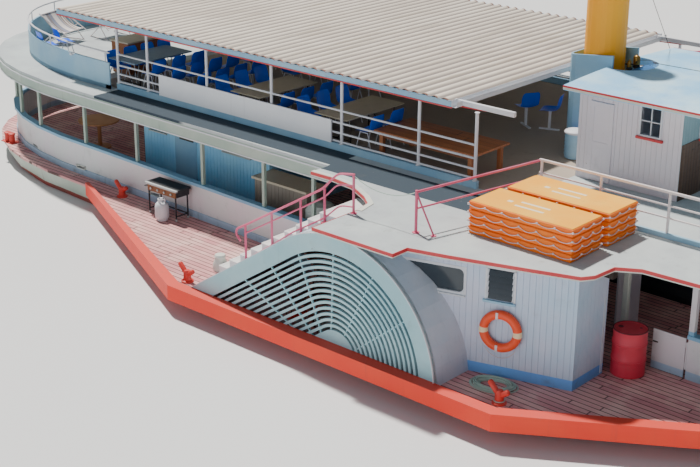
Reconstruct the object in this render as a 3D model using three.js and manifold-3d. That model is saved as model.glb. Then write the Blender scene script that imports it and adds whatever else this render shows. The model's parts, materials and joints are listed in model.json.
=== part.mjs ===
// A paddle steamer for day trips: a low hull with broad guards, two side paddle wheels in boxes
// with slotted faces, an open saloon, and an upper deck with a roof, a wheelhouse and a funnel.
// Millimetres. The origin is on the waterline, on the centreline, below the paddle shaft.
// +X is the bow, +Y is port and +Z is up. Shapes are drawn for port and mirrored to starboard.
import * as THREE from 'three';
import { mergeVertices } from 'three/addons/utils/BufferGeometryUtils.js';
import Module from 'manifold-3d';

const wasm = await Module();
wasm.setup();

// Driving dimensions

const GAP = 0.3; // between pieces that touch
const PLAY = 8; // between a moving piece and its neighbours

// Levels above the water, each the top of what it names
const KEEL = -850;
const MAIN_DECK = 500;
const CAP_RAIL = 1330;
const UPPER_DECK = 2700;
const EAVE = 4170;
const ROOF = 4330;
const DECK_THICK = 60;

// Hull and decks seen from above: half widths and where the round stern starts
const HULL_HALF = 4550;
const DECK_HALF = 4600;
const STERN_START = -10200;
const STERN_LENGTH = 6700;
const BOW_START = 5000;
const STEM = 14800;
const BOW_POWER = 1.8;
const HULL_SKIN = 60;

// The broad guards around the paddle boxes
const GUARD_HALF = 7190;
const GUARD_STRAKE = 250;
const STRAKE_BOTTOM = 290;
const STRAKE_TOP = 600;
const GUARD_EDGE = [
  // x, half width
  [STERN_START, DECK_HALF],
  [-4140, GUARD_HALF],
  [3500, GUARD_HALF],
  [6120, 5520],
  [9080, 3656],
];

// Paddle wheels and their boxes, side view centred on x = 0
const SHAFT_HEIGHT = 880;
const SHAFT_RADIUS = 90;
const SHAFT_END = 7070;
const WHEEL_RADIUS = 1520;
const WHEEL_FLOATS = 8;
const WHEEL_INNER = 4950;
const WHEEL_OUTER = 6850;
const WELL_HALF = 1750;
const BOX_CENTRE = 400;
const BOX_RADIUS = 2240;
const BOX_SLOPE = 33.3; // degrees, the straight aft side that carries the stair
const BOX_INNER = 4800;
const BOX_SKIN = 50;
const FACE_THICK = 60;

// House on the main deck and the margin of the deck above it
const HOUSE_STERN = -16500;
const HOUSE_HALF = 4200;
const HOUSE_HALF_FORE = 4500;
const HOUSE_FORE_END = -2900;
const MARGIN_HALF = 4450;
const MARGIN_HALF_FORE = 4570;
const MARGIN_STERN = -16750;
const MARGIN_FORE_END = -2580;
const POST = 70;

// Upper deck fittings
const RAIL_LINE = 3700;
const ROOF_AFT = -12100;
const ROOF_FORE = -200;
const ROOF_HALF = 3800;
const FUNNEL_X = 680;
const FUNNEL_RADIUS = 410;
const FUNNEL_TOP = 7200;

// Shape helpers: each returns a geometry

const box = (x0, x1, y0, y1, z0, z1) =>
  new THREE.BoxGeometry(x1 - x0, y1 - y0, z1 - z0)
    .translate((x0 + x1) / 2, (y0 + y1) / 2, (z0 + z1) / 2);

const outline = points => new THREE.Shape(points.map(([x, y]) => new THREE.Vector2(x, y)));

// A slab drawn from above, from z0 up to z1.
function plan(points, z0, z1, holes = []) {
  const shape = outline(points);
  shape.holes = holes.map(outline);
  return new THREE.ExtrudeGeometry(shape, { depth: z1 - z0, bevelEnabled: false })
    .translate(0, 0, z0);
}

// A plate drawn from the side as (x, z), from y0 to y1.
const upright = (points, y0, y1) =>
  new THREE.ExtrudeGeometry(outline(points), { depth: y1 - y0, bevelEnabled: false })
    .rotateX(Math.PI / 2)
    .translate(0, y1, 0);

// A plate drawn from astern as (y, z), from x0 to x1.
const across = (points, x0, x1) =>
  new THREE.ExtrudeGeometry(outline(points), { depth: x1 - x0, bevelEnabled: false })
    .rotateX(Math.PI / 2)
    .rotateZ(Math.PI / 2)
    .translate(x0, 0, 0);

function rod(from, to, radius, sides = 8) {
  const start = new THREE.Vector3(...from);
  const end = new THREE.Vector3(...to);
  const along = end.clone().sub(start);
  const turn = new THREE.Quaternion()
    .setFromUnitVectors(new THREE.Vector3(0, 1, 0), along.clone().normalize());
  const middle = start.add(end).multiplyScalar(0.5);
  return new THREE.CylinderGeometry(radius, radius, along.length(), sides)
    .applyQuaternion(turn)
    .translate(middle.x, middle.y, middle.z);
}

// A turned piece standing at (x, y), its profile as (radius, z) from the axis back to the axis.
const turned = (profile, x, y, sides = 24) =>
  new THREE.LatheGeometry(profile.map(([r, z]) => new THREE.Vector2(r, z)), sides)
    .rotateX(Math.PI / 2)
    .translate(x, y, 0);

const mirrored = points => points.map(([x, y]) => [x, -y]).reverse();

// Solids: geometries are welded, joined or cut, and turned back

function solid(shape) {
  if (shape instanceof wasm.Manifold) return shape;
  const bare = shape.clone();
  bare.deleteAttribute('normal');
  bare.deleteAttribute('uv');
  const welded = mergeVertices(bare, 0.01);
  return new wasm.Manifold(new wasm.Mesh({
    numProp: 3,
    vertProperties: new Float32Array(welded.attributes.position.array),
    triVerts: new Uint32Array(welded.index.array),
  }));
}

const join = (...shapes) => shapes.flat().map(solid).reduce((a, b) => a.add(b));
const cut = (body, ...tools) =>
  tools.flat().map(solid).reduce((a, b) => a.subtract(b), solid(body));
const common = (a, b) => solid(a).intersect(solid(b));

function toGeometry(shape) {
  const mesh = solid(shape).getMesh();
  const geometry = new THREE.BufferGeometry();
  geometry.setAttribute('position', new THREE.BufferAttribute(mesh.vertProperties, 3));
  geometry.setIndex(new THREE.BufferAttribute(mesh.triVerts, 1));
  const faceted = geometry.toNonIndexed();
  faceted.computeVertexNormals();
  return faceted;
}

// The same solid on the other side of the centreline.
function otherSide(shape) {
  const geometry = toGeometry(shape);
  const position = geometry.attributes.position;
  for (let corner = 0; corner < position.count; corner += 3) {
    const corners = [0, 2, 1].map(k => new THREE.Vector3().fromBufferAttribute(position, corner + k));
    corners.forEach((p, k) => position.setXYZ(corner + k, p.x, -p.y, p.z));
  }
  return solid(geometry);
}

// Curves seen from above

// A round end as (x, half width), from the tip on the centreline to where the sides start.
function roundEnd(start, tip, half, power = 2.5, steps = 9) {
  const points = [];
  for (let step = 0; step <= steps; step += 1) {
    const angle = (Math.PI / 2) * (1 - step / steps);
    const x = start + (tip - start) * Math.sin(angle) ** (2 / power);
    points.push([x, step === 0 ? 0 : half * Math.cos(angle) ** (2 / power)]);
  }
  return points;
}

function bowHalf(x, half) {
  const t = Math.min(1, Math.max(0, (x - BOW_START) / (STEM - BOW_START)));
  return half * (1 - t ** BOW_POWER);
}

// Points of the bow's edge from x = start to the stem.
function bowEdge(start, half, inset = 0, steps = 8) {
  const points = [];
  for (let step = 0; step <= steps; step += 1) {
    const x = start + (STEM - inset * 1.4 - start) * (step / steps);
    points.push([x, step === steps ? 0 : bowHalf(x + inset * 0.4, half) - inset]);
  }
  return points;
}

// A line moved sideways, to its left, by one distance for each of its points.
function shifted(points, distances) {
  return points.map(([x, y], k) => {
    const [px, py] = points[Math.max(0, k - 1)];
    const [nx, ny] = points[Math.min(points.length - 1, k + 1)];
    const before = Math.atan2(y - py, x - px);
    const after = Math.atan2(ny - y, nx - x);
    const first = k === 0 ? after : before;
    const last = k === points.length - 1 ? before : after;
    const turn = (first + last) / 2 + Math.PI / 2;
    const reach = distances[k] / Math.cos((last - first) / 2);
    return [x + reach * Math.cos(turn), y + reach * Math.sin(turn)];
  });
}

const shiftedBy = (points, distance) => shifted(points, points.map(() => distance));

// Both sides of an edge whose first point is on the centreline.
function bothSides(points) {
  const closed = points.at(-1)[1] === 0;
  return [...points, ...mirrored(points).slice(closed ? 1 : 0, -1)];
}

// A wall that follows a line, from z0 up to z1, as thick as the difference of two shifts.
const wall = (points, near, far, z0, z1) =>
  plan([...shiftedBy(points, near), ...shiftedBy(points, far).reverse()], z0, z1);

// A wall along both sides, round an end whose first point is the tip.
function wallRound(points, near, far, z0, z1) {
  const both = [...mirrored(points).slice(0, -1), ...points];
  return wall(both, near, far, z0, z1);
}

// Edges used by several pieces

const deckEdge = [
  ...roundEnd(STERN_START, STERN_START - STERN_LENGTH, DECK_HALF),
  ...GUARD_EDGE.slice(1),
  ...bowEdge(9600, DECK_HALF),
];

const houseEdge = [
  ...roundEnd(STERN_START, HOUSE_STERN, HOUSE_HALF),
  [HOUSE_FORE_END, HOUSE_HALF_FORE],
];

const marginEdge = [
  ...roundEnd(-10300, MARGIN_STERN, MARGIN_HALF, 2.6),
  [MARGIN_FORE_END, MARGIN_HALF_FORE],
];

const foreHouseEdge = [...roundEnd(6000, 8300, 4050, 2.6, 8), [5150, 4050]];

// Where a line between two of an edge's points passes x.
function halfAt(edge, x) {
  const k = edge.findIndex(([nx], i) => i > 0 && (nx - x) * (edge[i - 1][0] - x) <= 0);
  const [[ax, ay], [bx, by]] = [edge[k - 1], edge[k]];
  return ay + (by - ay) * ((x - ax) / (bx - ax));
}

// The paddle box from the side: an arc, then a straight slope down aft.
function boxOutline(shrink, bottom) {
  const slope = THREE.MathUtils.degToRad(BOX_SLOPE);
  const radius = BOX_RADIUS - shrink;
  const points = [];
  const steps = 14;
  const start = Math.asin((bottom - BOX_CENTRE) / radius);
  for (let step = 0; step <= steps; step += 1) {
    const angle = start + (Math.PI / 2 + slope - start) * (step / steps);
    points.push([radius * Math.cos(angle), BOX_CENTRE + radius * Math.sin(angle)]);
  }
  const [x, z] = points[steps];
  points.push([x - (z - bottom) / Math.tan(slope), bottom]);
  return points;
}

// Hull: lofted sections, hollow and open at the top

function hullSections(inset, top) {
  // x, half width at the top, keel height, fullness
  const rows = [];
  const stern = roundEnd(STERN_START, STERN_START - STERN_LENGTH + 50, HULL_HALF, 2.5, 7);
  stern.slice(1).forEach(([x, half]) => {
    const aft = Math.max(0, (-9500 - x) / 7400);
    rows.push([x, half, KEEL + 1000 * aft ** 1.5, 4 - 1.6 * aft]);
  });
  [-6000, -2000, 2000, 5000, 7000, 9000, 10800, 12400, 13600, 14400, STEM - 60].forEach(x => {
    const fore = Math.max(0, (x - BOW_START) / (STEM - BOW_START));
    rows.push([x, Math.max(60, bowHalf(x, HULL_HALF)), KEEL + 250 * fore ** 6, 4 - 2.3 * fore]);
  });
  return rows
    .filter(([, half]) => half > inset + 20)
    .map(([x, half, keel, fullness], k, kept) => {
      const end = k === 0 ? inset : k === kept.length - 1 ? -inset : 0;
      return section(x + end, half - inset, keel + inset, top, fullness);
    });
}

// One frame of the hull, from the port edge round the keel to the starboard edge.
function section(x, half, keel, top, fullness) {
  const points = [];
  const steps = 6;
  for (let step = -steps; step <= steps; step += 1) {
    const angle = (Math.PI / 2) * Math.abs(step) / steps;
    const y = -Math.sign(step) * half * Math.sin(angle) ** (2 / fullness);
    const z = keel + (top - keel) * (1 - Math.abs(Math.cos(angle)) ** (2 / fullness));
    points.push([x, y, step === -steps || step === steps ? top : z]);
  }
  return points;
}

// A closed body through sections that have the same number of points.
function loft(sections) {
  const count = sections[0].length;
  const corners = sections.flat(2);
  const faces = [];
  const at = (s, k) => s * count + (k % count);
  for (let s = 0; s < sections.length - 1; s += 1) {
    for (let k = 0; k < count; k += 1) {
      faces.push(at(s, k), at(s + 1, k + 1), at(s, k + 1));
      faces.push(at(s, k), at(s + 1, k), at(s + 1, k + 1));
    }
  }
  const last = sections.length - 1;
  for (let k = 1; k < count - 1; k += 1) {
    faces.push(at(0, 0), at(0, k), at(0, k + 1));
    faces.push(at(last, 0), at(last, k + 1), at(last, k));
  }
  const geometry = new THREE.BufferGeometry();
  geometry.setAttribute('position', new THREE.Float32BufferAttribute(corners, 3));
  geometry.setIndex(faces);
  return geometry;
}

const RUDDER_X = -14700;

const HULL_TOP = MAIN_DECK - DECK_THICK - GAP;

// The space inside the hull, open upwards.
const hold = clearance => loft(hullSections(HULL_SKIN + clearance, HULL_TOP + 400));

function hull() {
  const shell = cut(loft(hullSections(0, HULL_TOP)), hold(0));
  const skeg = upright([[-13900, KEEL], [-9000, KEEL], [-9000, KEEL + 40], [-13900, -330]], -40, 40);
  const heel = box(RUDDER_X - 120, -13800, -50, 50, KEEL - 50, KEEL + 10);
  return join(shell, skeg, heel);
}

function rudder() {
  const blade = upright([
    [RUDDER_X + 380, KEEL + 40],
    [RUDDER_X + 380, -420],
    [RUDDER_X - 700, -240],
    [RUDDER_X - 850, -420],
    [RUDDER_X - 800, KEEL + 40],
  ], -25, 25);
  const stock = rod([RUDDER_X, 0, KEEL + 10 + GAP], [RUDDER_X, 0, -290], 60, 12);
  return join(blade, stock);
}

// Main deck, with wells for the wheels and a hatch over the machinery

function mainDeck() {
  const well = [
    [-WELL_HALF, WHEEL_INNER - 50], [WELL_HALF, WHEEL_INNER - 50],
    [WELL_HALF, WHEEL_OUTER + 50], [-WELL_HALF, WHEEL_OUTER + 50],
  ];
  const hatch = [[-2500, -1250], [4200, -1250], [4200, 1250], [-2500, 1250]];
  return plan(bothSides(deckEdge), MAIN_DECK - DECK_THICK, MAIN_DECK,
    [well, mirrored(well), hatch]);
}

// Guard: rubbing strake, with the beams that carry the deck's overhang

function guard() {
  const edge = shiftedBy(GUARD_EDGE, GAP);
  const outer = shifted(GUARD_EDGE, [90, GUARD_STRAKE, GUARD_STRAKE, GUARD_STRAKE, 90]);
  const strake = plan([...edge, ...outer.reverse()], STRAKE_BOTTOM, STRAKE_TOP);
  const under = MAIN_DECK - DECK_THICK - GAP;
  const stringer = wall(GUARD_EDGE.slice(0, 5), -120, 20, STRAKE_BOTTOM, under);
  const beams = [-7800, -6000, -4140, -1950, 1950, 3500, 5200, 7000].map(x => {
    const inner = bowHalf(x, HULL_HALF) + 20;
    const outerEnd = halfAt(GUARD_EDGE, x) - 60;
    return across([[inner, 60], [inner, under], [outerEnd, under], [outerEnd, STRAKE_BOTTOM]],
      x - 45, x + 45);
  });
  const shell = loft(hullSections(-3, under + 1));
  return cut(join(strake, stringer, beams), shell);
}

// Paddle wheels on their shaft: one turning body

function paddleWheels() {
  const shaft = rod([0, GAP - SHAFT_END, SHAFT_HEIGHT], [0, SHAFT_END - GAP, SHAFT_HEIGHT],
    SHAFT_RADIUS, 12);
  return join(shaft, wheel(), otherSide(wheel()));
}

function wheel() {
  const rimWidth = 50;
  const pieces = [WHEEL_INNER + 250, WHEEL_OUTER - 250].flatMap(y => {
    const rim = cut(
      rod([0, y - rimWidth / 2, 0], [0, y + rimWidth / 2, 0], 1260, 16),
      rod([0, y - rimWidth, 0], [0, y + rimWidth, 0], 1160, 16),
    );
    const hub = rod([0, y - 130, 0], [0, y + 130, 0], 260, 12);
    return [rim, hub];
  });
  for (let k = 0; k < WHEEL_FLOATS; k += 1) {
    const angle = (2 * Math.PI * k) / WHEEL_FLOATS;
    [WHEEL_INNER + 250, WHEEL_OUTER - 250].forEach(y => {
      pieces.push(box(-45, 45, y - 20, y + 20, 150, WHEEL_RADIUS - 40).rotateY(angle));
    });
    pieces.push(box(-22, 22, WHEEL_INNER, WHEEL_OUTER, 1080, WHEEL_RADIUS - 4).rotateY(angle));
  }
  return moved(join(pieces), 0, 0, SHAFT_HEIGHT);
}

const moved = (shape, x, y, z) => solid(toGeometry(shape).translate(x, y, z));

// Paddle boxes

const boxHub = [-150, 130, 740]; // x, z and radius of the plate over the bearing

// One slot of the face: it runs round the arc and down the slope, as wide as 2 x half.
function slot(radius, half) {
  const shrink = BOX_RADIUS - radius;
  const bottom = MAIN_DECK - 50;
  return cut(
    upright(boxOutline(shrink - half, bottom), 0, 400),
    upright(boxOutline(shrink + half, bottom - 40), -100, 500),
  );
}

function paddleFace() {
  const inner = GUARD_HALF - FACE_THICK;
  const plate = upright(boxOutline(0, MAIN_DECK + GAP), inner + GAP, GUARD_HALF - GAP);
  const slots = [1880, 1680, 1480, 1280, 1080].map(radius => slot(radius, 32));
  const [hubX, hubZ, hubRadius] = boxHub;
  const struts = [8, 36, 62, 88, 113, 137, 158].map(degrees => {
    const angle = THREE.MathUtils.degToRad(degrees);
    const reach = 3300;
    return rod([hubX, 200, hubZ],
      [hubX + reach * Math.cos(angle), 200, BOX_CENTRE + reach * Math.sin(angle) * 0.98], 55, 4);
  });
  const keep = [rod([hubX, 0, hubZ], [hubX, 400, hubZ], hubRadius + 30, 28), ...struts];
  const frame = upright([[-5000, 300], [5000, 300], [5000, MAIN_DECK + 110],
    [-5000, MAIN_DECK + 110]], 0, 400);
  const open = slots.map(one => moved(cut(one, keep, frame), 0, inner - 150, 0));
  const bearing = rod([0, 6960, SHAFT_HEIGHT], [0, inner + 10, SHAFT_HEIGHT], 190, 20);
  const bore = rod([0, 6900, SHAFT_HEIGHT], [0, SHAFT_END, SHAFT_HEIGHT], SHAFT_RADIUS + PLAY, 24);
  return cut(join(cut(plate, open), bearing), bore);
}

function paddleCover() {
  const outer = upright(boxOutline(0, MAIN_DECK + GAP), BOX_INNER, GUARD_HALF - FACE_THICK);
  const space = upright(boxOutline(BOX_SKIN, MAIN_DECK - 40), BOX_INNER + BOX_SKIN, 8000);
  const bore = rod([0, 4000, SHAFT_HEIGHT], [0, 5000, SHAFT_HEIGHT], SHAFT_RADIUS + PLAY, 24);
  return cut(outer, space, bore);
}

// Stair on the slope of the paddle box, with its rails

const STAIR = { near: 5150, far: 6250, rise: 200, steps: 10 };

function stair() {
  const slope = Math.tan(THREE.MathUtils.degToRad(BOX_SLOPE));
  const foot = boxOutline(-GAP, MAIN_DECK + GAP).at(-1)[0] - 70;
  const run = STAIR.rise / slope;
  const teeth = [[foot, MAIN_DECK + GAP]];
  for (let step = 0; step < STAIR.steps; step += 1) {
    teeth.push([foot + step * run, MAIN_DECK + GAP + (step + 1) * STAIR.rise]);
    teeth.push([foot + (step + 1) * run, MAIN_DECK + GAP + (step + 1) * STAIR.rise]);
  }
  const [endX, endZ] = teeth.at(-1);
  teeth.push([endX + 150, endZ], [foot + 150, MAIN_DECK + GAP]);
  const treads = upright(teeth.reverse(), STAIR.near, STAIR.far);
  const y = STAIR.far + 10;
  const posts = [-3200, -2480, -1720, -1000].map(x =>
    rod([x, y, MAIN_DECK + (x - foot) * slope - 60], [x, y, railZ(x)], 24, 6));
  const lines = [0, -180].map(drop =>
    rod([-3200, y, railZ(-3200) + drop], [-420, y, railZ(-420) + drop], 22, 6));
  const top = rod([-420, y, UPPER_DECK + GAP], [-420, y, railZ(-420)], 26, 6);
  const cover = upright(boxOutline(-GAP, MAIN_DECK), 4000, 7130);
  return cut(join(treads, posts, lines, top), cover);
}

const railZ = x => 3430 + (x + 420) * 0.6;

// Forward deckhouse: it leans against the paddle box

// Its outer wall, seen from above, from aft to fore
const ROOM_WALL = {
  aft: [950, 6657],
  fore: [3990, 5730],
  angle: Math.atan2(6657 - 5730, 3990 - 950),
  y: x => 6657 - (x - 950) * Math.tan(Math.atan2(6657 - 5730, 3990 - 950)),
};

function deckhouse() {
  const walls = [[950, BOX_INNER], [3990, BOX_INNER], ROOM_WALL.fore, ROOM_WALL.aft];
  const room = shiftedBy([...walls, walls[0], walls[1]], 50).slice(1, 5);
  const height = UPPER_DECK - DECK_THICK - GAP;
  const shell = cut(
    plan(walls, MAIN_DECK + GAP, height),
    plan(room, MAIN_DECK - 50, height - 40),
  );
  const paddleBox = upright(boxOutline(-GAP, MAIN_DECK + GAP), 4000, 7130);
  const holes = [
    // x from, x to, z from, z to
    [2500, 2950, 1900, 2450],
    [1050, 2120, 1900, 2360],
  ].map(([x0, x1, z0, z1]) => plan([
    [x0, ROOM_WALL.y(x0) - 300], [x1, ROOM_WALL.y(x1) - 300],
    [x1, ROOM_WALL.y(x1) + 200], [x0, ROOM_WALL.y(x0) + 200],
  ], z0, z1));
  return cut(shell, holes, paddleBox);
}

// House sides on the main deck

function houseBulwark() {
  const side = wallRound(houseEdge, -60, 0, MAIN_DECK + GAP, CAP_RAIL - 60);
  const cap = wallRound(houseEdge, -110, 50, CAP_RAIL - 70, CAP_RAIL);
  const band = wallRound(houseEdge, -60, 25, MAIN_DECK + GAP, MAIN_DECK + 150);
  const ports = [-15050, -13200, -11000, -8200].flatMap(x => [1, -1].map(side =>
    box(x - 150, x + 150, side * 3000 - 1700, side * 3000 + 1700, MAIN_DECK + 160, 720)));
  return cut(join(side, cap, band), ports);
}

function valance() {
  const under = UPPER_DECK - DECK_THICK - GAP;
  const skirt = wallRound(marginEdge, -25, 0, 2340, under);
  const flange = wallRound(marginEdge, -330, -10, under - 30, under);
  const posts = [-15400, -14080, -12790, -10790, -8820, -6510, -4550, -3080].flatMap(x => {
    const y = halfAt(houseEdge, x) - 30;
    return [1, -1].map(side => box(x - POST / 2, x + POST / 2, side * y - POST / 2,
      side * y + POST / 2, CAP_RAIL + GAP, under - 10));
  });
  return join(skirt, flange, posts);
}

function foreHouse() {
  const under = UPPER_DECK - DECK_THICK - GAP;
  const side = wallRound(foreHouseEdge, 0, 60, MAIN_DECK + GAP, CAP_RAIL - 60);
  const cap = wallRound(foreHouseEdge, -50, 110, CAP_RAIL - 70, CAP_RAIL);
  const beam = wallRound(foreHouseEdge, 0, 60, under - 120, under);
  const posts = [[5200, 4020], [6300, 4020], [7300, 3560], [8000, 2500]].flatMap(([x, y]) =>
    [1, -1].map(s => box(x - 50, x + 50, s * y - 50, s * y + 50, CAP_RAIL - 40, under - 20)));
  const ends = [1, -1].map(s => box(8230, 8330, s * 900 - 50, s * 900 + 50, CAP_RAIL - 40, under - 20));
  return join(side, cap, beam, posts, ends);
}

function bowBulwark() {
  const line = [[9100, bowHalf(9100, DECK_HALF)], ...bowEdge(9600, DECK_HALF)].reverse();
  const outer = bothSides(shrunk(line, 40));
  const inner = bothSides(shrunk(line, 110));
  const side = cut(plan(outer, MAIN_DECK + GAP, CAP_RAIL), plan(inner, 0, 3000));
  const capOuter = bothSides(shrunk(line, 10));
  const capInner = bothSides(shrunk(line, 150));
  const cap = cut(plan(capOuter, CAP_RAIL - 50, CAP_RAIL), plan(capInner, 0, 3000));
  return cut(join(side, cap), box(8000, 9200, -5000, 5000, 0, 3000));
}

// The bow's edge, tip first, moved inwards, with its tip moved back.
const shrunk = (line, inset) => line.map(([x, y], k) =>
  (k === 0 ? [x - inset * 1.6, 0] : [x - inset * 0.5, Math.max(5, y - inset * 0.9)]));

// Upper deck: the house, the tops of the paddle boxes and the notches where the stairs arrive

const upperEdge = [
  ...roundEnd(-10300, MARGIN_STERN, MARGIN_HALF, 2.6),
  [MARGIN_FORE_END, MARGIN_HALF_FORE],
  [MARGIN_FORE_END, 5070],
  [-2040, 5060],
  [-1450, 5150],
  [-870, 5460],
  [-570, 5700],
  [-480, 6100],
  [-470, 7270],
  [1340, 7270],
  [1340, 6890],
  [2040, 6700],
  [3350, 6280],
  [4180, 6000],
  [4310, 5800],
  [4350, 5280],
  [4730, 5050],
  ...roundEnd(6000, 8800, 4990, 2.6, 8).reverse(),
];

function upperDeck() {
  const funnelHole = rod([FUNNEL_X, 0, 2000], [FUNNEL_X, 0, 3000], 300, 24);
  return cut(plan(bothSides(upperEdge), UPPER_DECK - DECK_THICK, UPPER_DECK), funnelHole);
}

// Cabin amidships in the saloon, with its door

const CABIN = { aft: -9800, fore: -5600, half: 3200, skin: 50 };
const CABIN_DOOR = { aft: -8700, fore: -7950, top: 2450 };

function cabin() {
  const { aft, fore, half, skin } = CABIN;
  const top = UPPER_DECK - DECK_THICK - GAP;
  const shell = cut(
    box(aft, fore, -half, half, MAIN_DECK + GAP, top),
    box(aft + skin, fore - skin, skin - half, half - skin, 0, top - skin),
  );
  const doorway = box(CABIN_DOOR.aft, CABIN_DOOR.fore, -half - 50, 100 - half, 0, CABIN_DOOR.top);
  const windows = [[-7000, -6200], [-9500, -9000]].flatMap(([x0, x1]) => [
    box(x0, x1, -half - 50, 100 - half, 1750, 2150),
    box(x0, x1, half - 100, half + 50, 1750, 2150),
  ]);
  const ends = [aft, fore].map(x => box(x - 100, x + 100, -900, 900, 1500, 2250));
  return cut(shell, doorway, windows, ends);
}

// A door in a starboard wall whose outer face is at -half, hung on pins at its fore edge.
function door({ aft, fore, top }, half, floor, thick) {
  const pin = 12;
  const [x, y] = [fore - 2, -half - pin - GAP];
  const panel = box(aft + PLAY, fore - PLAY, -half, thick - half, floor + PLAY, top - PLAY);
  const hinges = [floor + 250, top - 350].flatMap(z => [
    box(fore - 60, x, y - 6, -half + 5, z, z + 90).translate(-PLAY, 0, 0),
    box(fore - 60, x, y - 6, y + 6, z, z + 90),
    rod([x, y, z - 10], [x, y, z + 100], pin, 10),
  ]);
  return join(panel, hinges);
}

const serving = () => join(
  box(-5550, -4000, -3700, -3140, MAIN_DECK + GAP, 1560),
  box(-5590, -3960, -3760, -3100, 1550, 1600),
);

const pedestalTable = () => turned(
  [[0, MAIN_DECK + GAP], [280, MAIN_DECK + GAP], [280, 540], [50, 570], [50, 1190],
    [520, 1200], [520, 1235], [0, 1235]], -12400, -2500, 20);

const tank = () => turned(
  [[0, MAIN_DECK + GAP], [330, MAIN_DECK + GAP], [330, 1380], [240, 1500], [0, 1530]],
  -3450, -3850, 20);

// Machinery: plain blocks of the real size

const engine = () => cut(
  join(
    common(box(-2300, 250, -700, 700, KEEL, 400), hold(GAP)),
    box(-2300, 250, -700, 700, 350, 700),
    box(-300, 300, -620, 620, 600, 1180),
  ),
  rod([0, -900, SHAFT_HEIGHT], [0, 900, SHAFT_HEIGHT], SHAFT_RADIUS + PLAY, 24),
);

const boiler = () => join(
  rod([500, 0, 150], [4000, 0, 150], 830, 20),
  common(box(900, 3600, -600, 600, KEEL, -450), hold(GAP)),
);

// Curved panel round the stern of the upper deck, with its tube rail

function sternPanel() {
  const edge = [...roundEnd(-10300, -15900, 3850, 2.5), [-10150, 3850]];
  const panel = wallRound(edge, -40, 0, UPPER_DECK + GAP, 3330);
  const tube = wallRound(edge, -45, 0, 3540, 3585);
  const stands = edge.slice(1).flatMap(([x, y]) => [1, -1].map(s =>
    box(x - 20, x + 20, s * (y - 22) - 20, s * (y - 22) + 20, 3300, 3560)));
  return join(panel, tube, stands);
}

// Side rails under the roof: coaming, posts and four rails in each bay

const UPPER_POSTS = [-10000, -8950, -6980, -5000, -3020, -1030, 330];

function upperRail() {
  const coaming = box(-10040, 400, RAIL_LINE - 40, RAIL_LINE + 40, UPPER_DECK + GAP, 2850);
  const posts = UPPER_POSTS.map(x => box(x - POST / 2, x + POST / 2, RAIL_LINE - POST / 2,
    RAIL_LINE + POST / 2, 2840, EAVE - GAP));
  const rails = [2890, 3070, 3280, 3540].map(z =>
    box(-10000, 330, RAIL_LINE - 22, RAIL_LINE + 22, z - 22, z + 22));
  return join(coaming, posts, rails);
}

const signBoard = () => box(-8500, -3250, -RAIL_LINE - 75, -RAIL_LINE - POST / 2 - GAP, 2855, 3330);

function roof() {
  const sheet = box(ROOF_AFT, ROOF_FORE, -ROOF_HALF, ROOF_HALF, ROOF - 60, ROOF);
  const skirt = cut(
    box(ROOF_AFT + 20, ROOF_FORE - 20, -ROOF_HALF + 20, ROOF_HALF - 20, EAVE, ROOF - 30),
    box(ROOF_AFT + 180, ROOF_FORE - 180, -ROOF_HALF + 200, ROOF_HALF - 200, 0, ROOF - 60),
  );
  const arms = [1, -1].map(s =>
    box(ROOF_FORE - 60, 1100, s * 3600 - 40, s * 3600 + 40, 4200, 4310));
  const purlins = [-9000, -6000, -3000].map(x =>
    box(x - 40, x + 40, -ROOF_HALF + 100, ROOF_HALF - 100, 4200, ROOF - 40));
  return join(sheet, skirt, arms, purlins);
}

// Funnel, its shield and the whistle pipes

function funnel() {
  const r = FUNNEL_RADIUS;
  const z = UPPER_DECK + GAP;
  return turned([
    [r - 12, z], [r + 30, z], [r + 30, z + 40], [r, z + 60], [r, 6700], [r + 30, 6720],
    [r + 30, 6800], [r, 6820], [r, FUNNEL_TOP - 60], [r + 30, FUNNEL_TOP - 50],
    [r + 30, FUNNEL_TOP], [r - 12, FUNNEL_TOP], [r - 12, z],
  ], FUNNEL_X, 0, 24);
}

// A bent plate round three sides of the funnel, open forward, its top edge rising forward.
function funnelShield() {
  const [aft, fore, half, skin, bend] = [110, 1170, 490, 40, 220];
  const bent = inset => {
    const corner = [0, 30, 60, 90].map(degrees => {
      const angle = THREE.MathUtils.degToRad(degrees);
      return [aft + bend - (bend - inset) * Math.sin(angle),
        half - bend + (bend - inset) * Math.cos(angle)];
    });
    return bothSides([[aft + inset, 0], ...corner.reverse(), [fore + inset, half - inset]]);
  };
  const side = upright([[0, UPPER_DECK + GAP], [0, 4650], [fore, 4790], [fore, UPPER_DECK + GAP]],
    -600, 600);
  return cut(common(plan(bent(0), 2000, 5000), side), plan(bent(skin), 0, 6000));
}

function whistle() {
  const [x, y] = [1240, 300];
  return join(
    rod([x, y, UPPER_DECK + GAP], [x, y, 4480], 45, 12),
    rod([x, y, 4470], [x, y, 4700], 75, 14),
    rod([x - 10, y - 260, 4350], [x - 10, y + 20, 4350], 30, 10),
    rod([x - 10, y - 250, 4340], [x - 10, y - 250, 4640], 40, 12),
    rod([x - 110, y - 250, 4560], [x + 90, y - 250, 4560], 22, 8),
  );
}

// Wheelhouse

const BRIDGE = { aft: 1310, fore: 3500, half: 1800, top: 4410, skin: 45 };
const BRIDGE_DOOR = { aft: 1560, fore: 2060, top: 4260 };

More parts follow.
